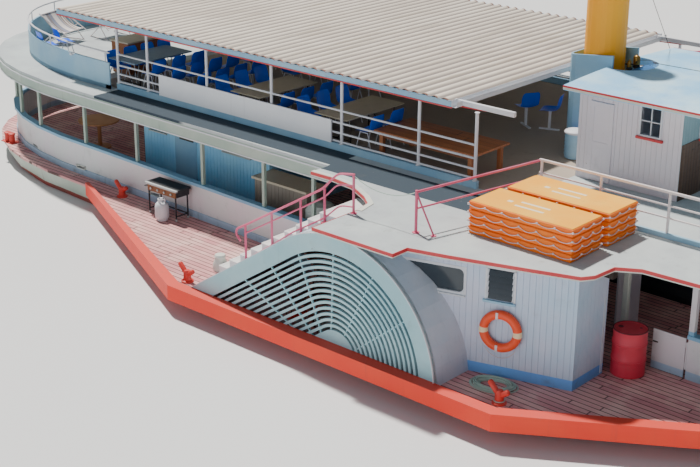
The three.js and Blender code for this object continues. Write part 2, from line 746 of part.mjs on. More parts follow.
function wheelhouse() {
  const { aft, fore, half, top, skin } = BRIDGE;
  const shell = cut(
    box(aft, fore, -half, half, UPPER_DECK + GAP, top),
    box(aft + skin, fore - skin, skin - half, half - skin, UPPER_DECK - 50, top + 50),
  );
  const sides = [1, -1].map(s => box(2650, 3050, Math.min(s * (half + 60), s * (half - 90)),
    Math.max(s * (half + 60), s * (half - 90)), 3820, 4340));
  const doorway = box(BRIDGE_DOOR.aft, BRIDGE_DOOR.fore, -half - 60, 90 - half, 0, BRIDGE_DOOR.top);
  const front = [-1150, -350, 450].map(y => box(fore - 100, fore + 60, y, y + 700, 3800, 4300));
  const back = [-1500, 900].map(y => box(aft - 60, aft + 100, y, y + 600, 3640, 4240));
  return cut(shell, sides, doorway, front, back);
}

// A cambered slab, open round the pipes at its aft end, with a lower plate inside the notch.
function wheelhouseRoof() {
  const camber = [[2050, 4500], [1500, 4532], [900, 4556], [400, 4565]];
  const section = [
    ...camber, ...camber.map(([y, z]) => [-y, z]).reverse(),
    [-2050, BRIDGE.top + GAP], [2050, BRIDGE.top + GAP],
  ];
  const slab = common(across(section, 1080, 4350), plan([
    [0, -2100], [4050, -2100], [4350, -1600], [4350, 1600], [4050, 2100], [0, 2100],
  ], 4000, 5000));
  return cut(slab, rod([1200, 30, 4440], [1200, 30, 5000], 600, 28),
    box(1000, 1300, -560, 620, 4000, 5000));
}

function shipsWheel() {
  const [x, z] = [2900, 3560];
  const rim = cut(rod([x - 20, 0, z], [x + 20, 0, z], 430, 24), rod([x - 40, 0, z], [x + 40, 0, z], 375, 24));
  const hub = rod([x - 30, 0, z], [2985 - GAP, 0, z], 70, 12);
  const spokes = [0, 45, 90, 135].map(degrees => {
    const angle = THREE.MathUtils.degToRad(degrees);
    const [y, rise] = [560 * Math.cos(angle), 560 * Math.sin(angle)];
    return rod([x, -y, z - rise], [x, y, z + rise], 16, 4);
  });
  return join(rim, hub, spokes);
}

const steeringStand = () => join(
  box(2985, 3145, -140, 140, UPPER_DECK + GAP, 3640),
  box(2970, 3160, -190, 190, UPPER_DECK + GAP, 2760),
);

// Rails round the fore end of the upper deck, with the cross rails to the paddle boxes

const FORE_RAIL_HALF = 3550;

function foreRail() {
  const edge = [...roundEnd(6000, 8450, FORE_RAIL_HALF, 2.6, 6), [1650, FORE_RAIL_HALF]];
  const base = wallRound(edge, -30, 30, UPPER_DECK + GAP, 2790);
  const rails = [3060, 3280, 3520].map(z => wallRound(edge, -20, 20, z - 20, z + 20));
  const stands = [1700, 2950, 4300, 5650, 7000, 8100].flatMap(x => {
    const y = halfAt(edge, x);
    return [1, -1].map(s => box(x - 24, x + 24, s * y - 24, s * y + 24, 2780, 3530));
  });
  const cross = [1, -1].flatMap(s => [
    rod([1000, s * 6250, UPPER_DECK + GAP], [1000, s * 6250, 3460], 28),
    rod([1000, s * 6250, 3440], [1650, s * FORE_RAIL_HALF, 3520], 24),
    rod([1000, s * 6250, 3130], [1650, s * FORE_RAIL_HALF, 3180], 20),
    rod([1000, s * 6250, 3420], [1350, s * 6180, UPPER_DECK + 25], 18),
  ]);
  return join(base, rails, stands, cross);
}

// Rafts: four layers of orange floats strapped together

function floatStack(x, y) {
  const [length, width, layer] = [2100, 900, 140];
  const layers = [0, 1, 2, 3].map(k => {
    const z = UPPER_DECK + GAP + k * (layer + 8);
    return box(x, x + length, y, y + width, z, z + layer);
  });
  const core = box(x + 60, x + length - 60, y + 60, y + width - 60, UPPER_DECK + GAP, 3280);
  return join(layers, core);
}

// Gates in the bulwark forward of the paddle boxes

const GATE = { aft: 4490, fore: 5112, y: 4050, hinge: 5150 - GAP - 15 };

const gate = () => join(
  box(GATE.aft, GATE.fore, GATE.y - 10, GATE.y + 10, MAIN_DECK + 20, CAP_RAIL - 85),
  box(GATE.fore - 20, GATE.hinge, GATE.y - 5, GATE.y + 5, 700, 780),
  box(GATE.fore - 20, GATE.hinge, GATE.y - 5, GATE.y + 5, 1080, 1160),
  rod([GATE.hinge, GATE.y, 680], [GATE.hinge, GATE.y, 1180], 15, 12),
);

// Furniture of the upper deck

function table(x0, x1, y0, y1, height, top, leg) {
  const z = UPPER_DECK + GAP;
  const legs = [x0 + 150, x1 - 150].flatMap(x => [y0 + 100, y1 - 100].map(y =>
    box(x - leg, x + leg, y - leg, y + leg, z, z + height - top + 5)));
  const rails = [y0 + 100, y1 - 100].map(y =>
    box(x0 + 150, x1 - 150, y - 15, y + 15, z + height - top - 90, z + height - top + 5));
  return join(box(x0, x1, y0, y1, z + height - top, z + height), legs, rails);
}

// Loose gear and fittings on the main deck

// A mooring post with two raised arms.
function bollard(x, y) {
  const z = MAIN_DECK + GAP;
  const arms = [-215, 215].map(reach => rod([x, y, z + 150], [x + reach, y, z + 300], 52, 10));
  return join(
    rod([x, y, z], [x, y, z + 30], 125, 12),
    rod([x, y, z + 10], [x, y, z + 230], 75, 12),
    arms,
  );
}

const oilDrum = () => turned([
  [0, MAIN_DECK + GAP], [295, MAIN_DECK + GAP], [295, 790], [305, 800], [295, 810], [295, 1080],
  [305, 1090], [295, 1100], [295, 1340], [0, 1340],
], 4290, -4480, 20);

// Mooring rope: a long coil beside the fore bollard, and the stretch that leads to its post
const COIL = { x: 2900, y: -6440, long: 450, wide: 300, high: 100 };
const ROPE = 24; // diameter

function ropeCoil(clearance = 0) {
  const z = MAIN_DECK + GAP;
  const [inner, outer, top] = [0.45, 1 + clearance / COIL.wide, COIL.high + clearance];
  return new THREE.LatheGeometry([[inner, 0], [outer, 0], [outer, top * 0.7], [0.85, top],
    [0.6, top], [inner, top * 0.7], [inner, 0]].map(([r, h]) => new THREE.Vector2(r, h)), 28)
    .rotateX(Math.PI / 2)
    .scale(COIL.long, COIL.wide, 1)
    .rotateZ(ROOM_WALL.angle)
    .translate(COIL.x, COIL.y, z);
}

// A round cord along a smooth line through points.
function cord(points, diameter, sides = 8) {
  const line = new THREE.CatmullRomCurve3(points.map(p => new THREE.Vector3(...p)));
  const section = [];
  for (let side = 0; side < sides; side += 1) {
    const angle = (2 * Math.PI * side) / sides;
    section.push([(diameter / 2) * Math.cos(angle), (diameter / 2) * Math.sin(angle)]);
  }
  return new THREE.ExtrudeGeometry(outline(section), {
    extrudePath: line,
    steps: Math.round(line.getLength() / (2.5 * diameter)),
    bevelEnabled: false,
  });
}

const ROPE_LEAD = [
  // from inside the coil over the foot of the post
  [3090, -6560, 513], [3120, -6600, 513], [3148, -6640, 514], [3176, -6676, 518],
  [3204, -6712, 527], [3230, -6746, 539], [3254, -6780, 549], [3278, -6812, 556],
  [3300, -6840, 560], [3322, -6866, 562],
];

function ropeLead() {
  const post = rod([3340, -6880, 400], [3340, -6880, 900], 75 + GAP, 12);
  const foot = rod([3340, -6880, 400], [3340, -6880, MAIN_DECK + GAP + 30 + GAP], 125 + GAP, 12);
  return cut(cord(ROPE_LEAD, ROPE), ropeCoil(GAP), post, foot);
}

// Rope across the head of the stair: it hangs from the last post of the stair to the next rail.
const STAIR_ROPE = 16; // diameter
const STAIR_ROPE_LINE = [
  [-410, -6260, 3408], [-320, -6260, 3366], [-240, -6259, 3334], [-160, -6259, 3307],
  [-80, -6258, 3285], [0, -6257, 3267], [80, -6256, 3255], [160, -6256, 3247],
  [240, -6255, 3243], [320, -6254, 3244], [400, -6253, 3249], [480, -6253, 3259],
  [560, -6252, 3273], [640, -6251, 3292], [720, -6251, 3316], [800, -6250, 3344],
  [880, -6250, 3376], [990, -6250, 3428],
];

const stairRope = () => cut(
  cord(STAIR_ROPE_LINE, STAIR_ROPE),
  rod([-420, -6260, 3000], [-420, -6260, 4000], 26 + GAP, 6),
  rod([1000, -6250, 3000], [1000, -6250, 4000], 28 + GAP, 8),
);

// It hangs on the outer wall of the starboard deckhouse.
function lifebuoy() {
  const tube = 78;
  const [x, y] = [2780, ROOM_WALL.y(2780)];
  const reach = tube + GAP;
  return new THREE.TorusGeometry(300, tube, 8, 24)
    .rotateY(Math.PI / 2)
    .rotateZ(ROOM_WALL.angle - Math.PI / 2)
    .translate(x + reach * Math.sin(ROOM_WALL.angle), -y - reach * Math.cos(ROOM_WALL.angle), 1380);
}

function barbecue() {
  const [x, y, z] = [-7330, -4640, MAIN_DECK + GAP];
  const legs = [-440, 440].flatMap(dx => [-170, 170].map(dy =>
    box(x + dx - 18, x + dx + 18, y + dy - 18, y + dy + 18, z, z + 560)));
  return join(
    legs,
    box(x - 440, x + 440, y - 180, y + 180, z + 110, z + 130),
    box(x - 480, x + 480, y - 200, y + 200, z + 540, z + 690),
    box(x - 520, x + 520, y - 220, y + 220, z + 680, z + 730),
  );
}

// Hatch on the fore deck
const foreHatch = () => join(
  box(10100, 11300, -600, 600, MAIN_DECK + GAP, 830),
  box(10060, 11340, -640, 640, 800, 860),
);

// Colours, as sRGB, with roughness and metalness

const LOOKS = {
  // name: [colour, roughness, metalness]
  hullPaint: [0xb4bfb2, 0.6, 0.1],
  planks: [0xa98a82, 0.85, 0],
  strake: [0xc8492e, 0.6, 0],
  facePaint: [0x93aeb2, 0.6, 0.05],
  paleBlue: [0xb9cdd8, 0.6, 0],
  blueGrey: [0x7f9db5, 0.55, 0],
  cream: [0xd6d6cb, 0.7, 0],
  white: [0xe4e4e2, 0.5, 0],
  canvas: [0x55616a, 0.85, 0],
  sheet: [0xcfc7ac, 0.7, 0.1],
  ochre: [0xc79a3e, 0.5, 0],
  lilac: [0xd9d6e2, 0.6, 0],
  red: [0xb03a33, 0.5, 0.1],
  pink: [0xc4607a, 0.5, 0.1],
  orange: [0xf0932a, 0.6, 0],
  steel: [0x5a4038, 0.7, 0.5],
  brass: [0xa98545, 0.4, 0.8],
  timber: [0x8a5a40, 0.7, 0],
  beige: [0xcdbf9d, 0.6, 0],
  tableGrey: [0x93a4b5, 0.5, 0],
  rope: [0xb8c4b0, 0.9, 0],
  black: [0x2b2c2e, 0.6, 0.3],
};

const steamer = new THREE.Group();

function add(name, look, shape) {
  const [color, roughness, metalness] = LOOKS[look];
  const mesh = new THREE.Mesh(
    toGeometry(shape),
    new THREE.MeshStandardMaterial({ color, roughness, metalness }),
  );
  mesh.name = name;
  steamer.add(mesh);
}

// The same piece on both sides of the boat.
function addPair(name, look, shape) {
  add(`${name}_port`, look, shape);
  add(`${name}_starboard`, look, otherSide(shape));
}

add('hull', 'hullPaint', hull());
add('rudder', 'red', rudder());
add('main_deck', 'planks', mainDeck());
addPair('guard', 'strake', guard());
add('paddle_wheels', 'steel', paddleWheels());
addPair('paddle_face', 'facePaint', paddleFace());
addPair('paddle_cover', 'paleBlue', paddleCover());
addPair('stair', 'pink', stair());
addPair('deckhouse', 'paleBlue', deckhouse());
add('engine', 'black', engine());
add('boiler', 'black', boiler());
add('house_bulwark', 'cream', houseBulwark());
add('valance', 'cream', valance());
add('fore_house', 'paleBlue', foreHouse());
add('bow_bulwark', 'blueGrey', bowBulwark());
add('upper_deck', 'canvas', upperDeck());
add('cabin', 'paleBlue', cabin());
add('cabin_door', 'blueGrey', door(CABIN_DOOR, CABIN.half, MAIN_DECK, 40));
add('serving_counter', 'timber', serving());
add('pedestal_table', 'timber', pedestalTable());
add('water_tank', 'cream', tank());
add('stern_panel', 'blueGrey', sternPanel());
addPair('upper_rail', 'white', upperRail());
add('sign_board', 'white', signBoard());
add('roof', 'sheet', roof());
add('funnel', 'ochre', funnel());
add('funnel_shield', 'blueGrey', funnelShield());
add('whistle', 'brass', whistle());
add('wheelhouse', 'lilac', wheelhouse());
add('wheelhouse_door', 'lilac', door(BRIDGE_DOOR, BRIDGE.half, UPPER_DECK, 35));
add('wheelhouse_roof', 'paleBlue', wheelhouseRoof());
add('ships_wheel', 'timber', shipsWheel());
add('steering_stand', 'timber', steeringStand());
add('fore_rail', 'pink', foreRail());
add('float_stack_outer', 'orange', floatStack(1650, -5640));
add('float_stack_inner', 'orange', floatStack(1700, -4610));
addPair('gate', 'cream', gate());
add('table_grey', 'tableGrey', table(-10450, -9500, -3620, -1850, 670, 40, 20));
add('table_beige', 'beige', table(-6350, -5450, -3600, -1800, 630, 40, 20));
add('table_timber', 'timber', table(-2350, 150, -3500, -2360, 550, 50, 45));
addPair('bollard_aft', 'red', bollard(-9050, 4550));
addPair('bollard_mid', 'red', bollard(-4220, 6890));
addPair('bollard_fore', 'red', bollard(3340, 6880));
add('oil_drum', 'red', oilDrum());
add('rope_coil', 'rope', ropeCoil());
add('rope_lead', 'rope', ropeLead());
add('stair_rope', 'rope', stairRope());
add('lifebuoy', 'orange', lifebuoy());
add('barbecue', 'black', barbecue());
add('fore_hatch', 'planks', foreHatch());

export default steamer;
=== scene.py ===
# %% [markdown]
# # A paddle steamer
#
# The solids of the boat come packed as a frame: hull, decks, paddle boxes, cabins and gear, each
# in its right place in metres. The origin is on the waterline, +X is the bow, +Y is port and +Z
# is up. This script keeps the solids whose shape is already right, builds finer pieces where the
# eye expects more, and paints everything with procedural finishes.

# %% Load the frame
import json
import math

import bmesh
import bpy
from mathutils import Matrix, Vector

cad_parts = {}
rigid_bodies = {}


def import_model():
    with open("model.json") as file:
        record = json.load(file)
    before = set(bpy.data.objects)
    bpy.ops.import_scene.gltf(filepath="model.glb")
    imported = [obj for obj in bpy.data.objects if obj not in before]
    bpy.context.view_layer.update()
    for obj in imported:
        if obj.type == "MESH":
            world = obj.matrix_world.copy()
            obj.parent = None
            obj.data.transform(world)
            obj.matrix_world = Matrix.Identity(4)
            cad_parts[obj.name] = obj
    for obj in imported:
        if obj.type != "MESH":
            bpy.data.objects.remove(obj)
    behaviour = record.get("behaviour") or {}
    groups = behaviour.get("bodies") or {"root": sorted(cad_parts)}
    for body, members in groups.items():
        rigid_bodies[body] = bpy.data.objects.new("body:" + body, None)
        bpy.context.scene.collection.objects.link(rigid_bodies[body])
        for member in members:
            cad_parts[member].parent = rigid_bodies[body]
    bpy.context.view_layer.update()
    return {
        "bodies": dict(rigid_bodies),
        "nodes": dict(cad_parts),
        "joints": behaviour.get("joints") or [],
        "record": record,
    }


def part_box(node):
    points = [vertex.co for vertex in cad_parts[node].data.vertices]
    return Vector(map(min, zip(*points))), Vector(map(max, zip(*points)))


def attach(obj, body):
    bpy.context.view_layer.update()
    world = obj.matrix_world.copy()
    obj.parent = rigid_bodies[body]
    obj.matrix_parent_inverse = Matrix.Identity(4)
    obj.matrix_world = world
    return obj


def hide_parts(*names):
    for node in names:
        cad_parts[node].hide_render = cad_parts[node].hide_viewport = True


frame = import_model()
NODES = frame["nodes"]

# %% Levels and sides
MAIN_DECK, UPPER_DECK = 0.5, 2.7
ON_MAIN, ON_UPPER = 0.5003, 2.7003  # pieces stand a hair above their deck
SIDES = ((-1, "starboard"), (1, "port"))
print("decks at", MAIN_DECK, "and", UPPER_DECK, "m")

# %% [markdown]
# ## Camera and light
#
# A photograph's perspective is part of the likeness, so the camera comes first. It stands high
# off the starboard bow and looks aft and down. The long lens keeps the deck lines nearly
# parallel. A track to a target would be shorter, but its roll can't be set, so the camera's own
# axes are worked out from its three angles. The sun stands high over the stern, a little to port,
# so each deck shades what is under it, and a wide low light fills the near side.

# %% Camera
CAMERA_AT = Vector((15.071, -23.738, 11.283))
YAW, PITCH, ROLL = (math.radians(a) for a in (41.7, 21.0, 0.35))
LENS_MM = 72.0  # on a sensor 36 mm wide

camera = bpy.data.objects.new("camera", bpy.data.cameras.new("camera"))
camera.data.sensor_width = 36.0
camera.data.lens = LENS_MM
camera.data.clip_end = 500.0
ahead = Vector((-math.sin(YAW) * math.cos(PITCH), math.cos(YAW) * math.cos(PITCH), -math.sin(PITCH)))
level_right = Vector((math.cos(YAW), math.sin(YAW), 0.0))
level_up = level_right.cross(ahead)
right = level_right * math.cos(ROLL) + level_up * math.sin(ROLL)
up = level_up * math.cos(ROLL) - level_right * math.sin(ROLL)
camera.matrix_world = Matrix((
    (right.x, up.x, -ahead.x, CAMERA_AT.x),
    (right.y, up.y, -ahead.y, CAMERA_AT.y),
    (right.z, up.z, -ahead.z, CAMERA_AT.z),
    (0.0, 0.0, 0.0, 1.0),
))
bpy.context.collection.objects.link(camera)
bpy.context.scene.camera = camera
print("camera:", [round(v, 2) for v in CAMERA_AT], "lens", LENS_MM)

# %% Light
world = bpy.data.worlds.new("clear_sky")
bpy.context.scene.world = world
world.use_nodes = True
world.node_tree.nodes["Background"].inputs["Color"].default_value = (0.80, 0.90, 1.0, 1.0)
world.node_tree.nodes["Background"].inputs["Strength"].default_value = 0.26


def add_light(name, kind, at, towards, **settings):
    light = bpy.data.objects.new(name, bpy.data.lights.new(name, kind))
    for key, value in settings.items():
        setattr(light.data, key, value)
    light.location = at
    light.rotation_euler = (Vector(towards) - Vector(at)).to_track_quat("-Z", "Y").to_euler()
    bpy.context.collection.objects.link(light)


add_light("sun", "SUN", (-15.6, 5.2, 30), (0, 0, 0), energy=6.4, angle=math.radians(3),
          color=(1.0, 0.94, 0.87))
add_light("low_fill", "AREA", (4, -44, 8), (0, 0, 2), energy=5200, size=30,
          color=(0.92, 0.95, 1.0))

# %% [markdown]
# ## Finishes as Python expressions
#
# A paint on an old boat is never one colour: it has grime, chips and streaks. Each finish is a
# node tree, and a tree is hard to read when it is built link by link. So one small class, Field,
# wraps a socket and lets shader maths be written as sums and products, and a second class,
# Finish, keeps the tree of one material and makes any other node by one method.

# %% Fields and finishes
class Field:
    """A number that varies over a surface: an output socket with Python's operators."""

    def __init__(self, finish, socket):
        self.finish = finish
        self.socket = socket

    def maths(self, operation, *values):
        sockets = dict(enumerate(values))
        node = self.finish.node("ShaderNodeMath", {"operation": operation}, sockets)
        return Field(self.finish, node.outputs[0])

    def __add__(self, other):
        return self.maths("ADD", self, other)

    def __radd__(self, other):
        return self.maths("ADD", other, self)

    def __sub__(self, other):
        return self.maths("SUBTRACT", self, other)

    def __rsub__(self, other):
        return self.maths("SUBTRACT", other, self)

    def __mul__(self, other):
        return self.maths("MULTIPLY", self, other)

    def __rmul__(self, other):
        return self.maths("MULTIPLY", other, self)

    def __truediv__(self, other):
        return self.maths("DIVIDE", self, other)

    def __rtruediv__(self, other):
        return self.maths("DIVIDE", other, self)

    def __gt__(self, other):
        return self.maths("GREATER_THAN", self, other)

    def __lt__(self, other):
        return self.maths("LESS_THAN", self, other)

    def __abs__(self):
        return self.maths("ABSOLUTE", self)

    def floor(self):
        return self.maths("FLOOR", self)

    def step(self, low, high):
        """0 below low, 1 above high, and smooth between."""
        node = self.finish.node("ShaderNodeMapRange", {"interpolation_type": "SMOOTHSTEP"},
                                {"Value": self, "From Min": low, "From Max": high})
        return Field(self.finish, node.outputs["Result"])


class Finish:
    """One procedural material on Object coordinates."""

    def __init__(self, name, roughness=0.6, metallic=0.0):
        self.material = bpy.data.materials.new(name)
        self.material.use_nodes = True
        self.tree = self.material.node_tree
        self.shader = self.tree.nodes["Principled BSDF"]
        self.shader.inputs["Roughness"].default_value = roughness
        self.shader.inputs["Metallic"].default_value = metallic
        coordinates = self.node("ShaderNodeTexCoord", {}, {})
        self.place = coordinates.outputs["Object"]
        parts = self.node("ShaderNodeSeparateXYZ", {}, {"Vector": self.place})
        self.x, self.y, self.z = (Field(self, parts.outputs[axis]) for axis in "XYZ")

    def node(self, kind, settings, sockets):
        node = self.tree.nodes.new(kind)
        for key, value in settings.items():
            setattr(node, key, value)
        for key, value in sockets.items():
            self.put(node.inputs[key], value)
        return node

    def put(self, socket, value):
        if isinstance(value, Field):
            value = value.socket
        if isinstance(value, bpy.types.NodeSocket):
            self.tree.links.new(value, socket)
        elif isinstance(value, (tuple, list)) and len(value) == 3 and socket.type == "RGBA":
            socket.default_value = (*value, 1.0)
        else:
            socket.default_value = value

    def noise(self, scale, detail=3.0, rough=0.55, stretch=(1, 1, 1), shift=0.0):
        place = self.node("ShaderNodeMapping", {},
                          {"Vector": self.place, "Scale": stretch, "Location": (shift,) * 3})
        node = self.node("ShaderNodeTexNoise", {"normalize": True},
                         {"Vector": place.outputs[0], "Scale": scale, "Detail": detail,
                          "Roughness": rough})
        return Field(self, node.outputs["Fac"])

    def random(self, *fields):
        """A fixed random number for each cell that the whole-number fields name."""
        cell = self.node("ShaderNodeCombineXYZ", {}, dict(enumerate(fields)))
        node = self.node("ShaderNodeTexWhiteNoise", {"noise_dimensions": "3D"},
                         {"Vector": cell.outputs[0]})
        return Field(self, node.outputs["Value"])

    def blend(self, amount, low, high):
        """The colour low where amount is 0 and high where it is 1."""
        node = self.node("ShaderNodeMix", {"data_type": "RGBA"},
                         {"Factor": amount, 6: low, 7: high})
        return node.outputs[2]

    def bump(self, height, strength=0.3, distance=0.005):
        node = self.node("ShaderNodeBump", {},
                         {"Height": height, "Strength": strength, "Distance": distance})
        self.put(self.shader.inputs["Normal"], node.outputs["Normal"])

    def colour(self, value):
        self.put(self.shader.inputs["Base Color"], value)

    def rough(self, value):
        self.put(self.shader.inputs["Roughness"], value)


def linear(hex_colour):
    """A colour as written on the screen, such as 0xD2C9AA, in the renderer's own scale."""
    channels = [(hex_colour >> shift & 255) / 255 for shift in (16, 8, 0)]
    return tuple(c / 12.92 if c < 0.04045 else ((c + 0.055) / 1.055) ** 2.4 for c in channels)


# %% [markdown]
# ## Paint on a working boat
#
# Most surfaces share one recipe: a base coat that fades in broad clouds, grime that gathers near
# the deck, thin streaks that run down, and small chips that show rust or bare wood. One function
# takes the colours and the amounts, so each paint is a single line.

# %% Paint recipe
RUST = linear(0x7A4A33)
GRIME = linear(0x6B6A62)


def paint(name, base, faded=None, dirt=0.35, chips=0.25, under=RUST, roughness=0.55,
          metallic=0.0, streaks=0.3, foot=None, bands=()):
    """foot is the deck on which grime gathers. bands are (low, high, colour) by height, or
    by the field that a fourth value, a function of the finish, gives."""
    finish = Finish(name, roughness, metallic)
    base = linear(base)
    faded = linear(faded) if faded else tuple(min(1.0, c * 1.12 + 0.02) for c in base)
    clouds = finish.noise(0.9, 4).step(0.35, 0.7)
    colour = finish.blend(clouds, base, faded)
    for low, high, tone, *field in bands:
        place = field[0](finish) if field else finish.z
        inside = place.step(low, low + 0.004) - place.step(high, high + 0.004)
        colour = finish.blend(inside, colour, linear(tone))
    runs = finish.noise(7.0, 3, stretch=(1, 1, 0.07)).step(0.55, 0.8)
    specks = finish.noise(3.2, 6, 0.65).step(0.5, 0.78)
    soil = runs * streaks + specks * dirt
    if foot is not None:
        soil = soil + (1 - (finish.z - foot).step(0.0, 0.35)) * 0.45
    colour = finish.blend(soil.step(0.0, 1.0) * 0.75, colour, GRIME)
    flakes = finish.noise(11.0, 7, 0.7, shift=3.7).step(0.70 - chips * 0.12, 0.74 - chips * 0.1)
    colour = finish.blend(flakes * 0.85, colour, under)
    finish.colour(colour)
    finish.rough(roughness + soil * 0.2)
    grain = finish.noise(38.0, 4)
    finish.bump(grain * 0.4 + flakes * -0.8, 0.25, 0.003)
    return finish


def planking(name, tones, across, step, lengthwise, wear=0.5, roughness=0.8, gap=0.12):
    """Planks side by side: across is the field that counts them, lengthwise runs along them."""
    finish = Finish(name, roughness)
    counted = across(finish) / step
    row = counted.floor()
    along = lengthwise(finish) / 3.4 + finish.random(row, 0.0, 2.0) * 3.0
    piece = finish.random(row, along.floor(), 1.0)
    colour = finish.blend(piece, linear(tones[0]), linear(tones[1]))
    worn = finish.noise(1.6, 5, 0.6).step(0.42, 0.68)
    colour = finish.blend(worn * wear, colour, linear(tones[2]))
    stretch = (0.12, 1.6, 1) if lengthwise(finish).socket == finish.x.socket else (1.6, 0.12, 1)
    grain = finish.noise(26.0, 5, stretch=stretch)
    colour = finish.blend(grain.step(0.5, 0.8) * 0.4, colour, linear(tones[3]))
    seam = abs(counted - row - 0.5).step(0.5 - gap, 0.5 - gap * 0.4)
    butt = abs(along - along.floor() - 0.5).step(0.494, 0.498)
    colour = finish.blend((seam + butt).step(0.2, 1.0) * 0.85, colour, linear(0x3A302E))
    finish.colour(colour)
    finish.rough(roughness + grain * 0.15)
    finish.bump(grain * 0.3 + (seam + butt) * -1.0, 0.35, 0.004)
    return finish


# %% Parts of the upper deck
COAMING_OUT = 3.66
FAR = 9.0  # more than half the beam, so a band ends where this is added


def between(finish, aft, fore):
    """Distance from the centreline, and out of every band's reach aft and fore of two places."""
    return abs(finish.y) + (finish.x < aft) * FAR + (finish.x > fore) * FAR


def painted_roof_shadow(finish):
    """For the roof's shadow, painted as a dark strip that steps out by 0.3 m beside the stairs."""
    return between(finish, -10.0, 1.6) - (finish.x > -2.6) * 0.3


def under_roof(finish):
    """For the brown-grey floor between the coamings."""
    return between(finish, -10.9, 1.3)


# %% [markdown]
# ## The paints of this boat
#
# Faded blues, creams and pinks cover most of the boat, above a red rubbing edge. Colours are
# written as they look on a screen, base first and faded second, because that is how a paint is
# judged by eye. Planks have a recipe of their own, since each plank has its own tone.

# %% Paints and planks
WORN_WOOD = linear(0x9A8A7C)
cream = paint("cream_paint", 0xD6D9CF, 0xC9D1CB, dirt=0.3, chips=0.15)
valance_cream = paint("valance_paint", 0x98AEA2, 0xAEBCB0, dirt=0.35, chips=0.15)
bulwark_paint = paint("bulwark_paint", 0xD2D6D6, 0xD9D2D8, dirt=0.35, chips=0.2, foot=MAIN_DECK,
                      bands=((0.0, 0.65, 0xA3BFD8), (1.262, 1.4, 0x7FB0CE)))
wall_blue = paint("deckhouse_paint", 0xB4CCE2, 0xCCD2E4, dirt=0.25, chips=0.15, foot=MAIN_DECK,
                  under=WORN_WOOD, bands=((0.0, 0.69, 0x6CAEF8),))
cabin_blue = paint("cabin_paint", 0x80C4EC, 0x94D0EE, dirt=0.2, chips=0.1, under=WORN_WOOD,
                   bands=((-9.9, -9.785, 0x6A4A38, lambda f: f.x),))
pale_blue = paint("pale_blue_paint", 0x8CCBF6, 0xC4E8FA, dirt=0.35, chips=0.2)
box_blue = paint("paddle_box_paint", 0xBFCEDD, 0xCFD4DF, dirt=0.35, chips=0.25)
blue_grey = paint("blue_grey_paint", 0x86B4D0, 0x9CC2D6, dirt=0.3, chips=0.2)
deep_blue = paint("door_paint", 0x6FA2C4, 0x86B0CC, dirt=0.25, chips=0.15)
face_teal = paint("paddle_face_paint", 0x98C2CC, 0xACCED4, dirt=0.35, chips=0.25)
white = paint("white_paint", 0xDADDE2, 0xCFD3DA, dirt=0.25, chips=0.15)
sign_white = paint("sign_paint", 0xE9EBEE, 0xE1E5EA, dirt=0.12, chips=0.03, roughness=0.45)
lilac = paint("lilac_paint", 0xDAD6DE, 0xE2DDE3, dirt=0.25, chips=0.12, under=WORN_WOOD,
              bands=((3.495, 3.6, 0x86AAB4, lambda f: f.x),))
ochre = paint("funnel_paint", 0xFFA800, 0xFFB000, dirt=0.15, chips=0.05, streaks=0.25)
red = paint("red_paint", 0xC92F26, 0xD2473A, dirt=0.25, chips=0.25)
trim_red = paint("trim_red_paint", 0xC5333A, 0xCE4A4C, dirt=0.2, chips=0.1, under=WORN_WOOD)
drum_red = paint("drum_paint", 0xD02C42, 0xD84C5A, dirt=0.3, chips=0.2,
                 bands=((1.325, 1.5, 0x64222A),))
wheel_red = paint("wheel_paint", 0x6A332C, 0x7C4438, dirt=0.6, chips=0.5)
orange_red = paint("strake_paint", 0xEE2C08, 0xF03C14, dirt=0.25, chips=0.2,
                   under=linear(0x8C8074), bands=((0.592, 0.7, 0xD9402C),))
pink = paint("rail_pink_paint", 0xD65C7E, 0xDE7F9A, dirt=0.2, chips=0.3, under=linear(0x9A8A84))
black = paint("black_iron", 0x26262A, 0x34343A, dirt=0.4, chips=0.3, roughness=0.6, metallic=0.2)
timber = paint("oiled_timber", 0xC88A5C, 0xD29A6C, dirt=0.2, chips=0.05, under=linear(0x5A3A28))
beige = paint("beige_laminate", 0xD2C8AE, 0xC8C0AA, dirt=0.25, chips=0.05, roughness=0.45)
grey_top = paint("grey_laminate", 0x8596A8, 0x95A5B4, dirt=0.25, chips=0.05, roughness=0.45)
float_orange = paint("float_orange", 0xFA7200, 0xFC8208, dirt=0.15, chips=0.1,
                     under=linear(0xB86A1E), roughness=0.6, bands=((3.278, 3.4, 0xFFB000),))
buoy_orange = paint("lifebuoy_orange", 0xEE4E26, 0xF0602E, dirt=0.15, chips=0.05, roughness=0.5)
canvas_deck_with_painted_shadow = paint("canvas_deck_with_painted_shadow", 0xAEB6BA, 0xBEC8C8, dirt=0.35, chips=0.15,
                    under=linear(0x9A9C9A), roughness=0.85,
                    # the first band is the roof's shadow, painted as a dark strip beside the coaming
                    bands=((COAMING_OUT, 4.50, 0x2C3D4A, painted_roof_shadow),
                           (-1.0, COAMING_OUT, 0xA69A8C, under_roof)))
rope_white = paint("rope_white", 0xB4C8BC, 0xA4BAAE, dirt=0.3, chips=0.0, roughness=0.9)
dark_metal = paint("dark_metal", 0x3A3432, 0x50463F, dirt=0.5, chips=0.3, metallic=0.6,
                   roughness=0.45, under=linear(0x9A7A3A))
brass = paint("dull_brass", 0xA7833F, 0x8C7040, dirt=0.4, chips=0.05, metallic=0.8, roughness=0.4,
              under=linear(0x5A4A2A))
deck_planks = planking("main_deck_planks", (0xC8868A, 0xDCA8A4, 0xF0CEC4, 0x94565A),
                       lambda f: f.y, 0.13, lambda f: f.x)
hull_paint = Finish("hull_paint", 0.55)
print("finishes:", len(bpy.data.materials))

# %% [markdown]
# ## Hull paint
#
# The hull is pale grey-green above a red boot-top that reaches a hand above the waterline. Two
# materials would need a cut in the mesh, so one finish does both: the line is a level cut of the
# height, softened by a little noise, and rust runs down from the rubbing edge.

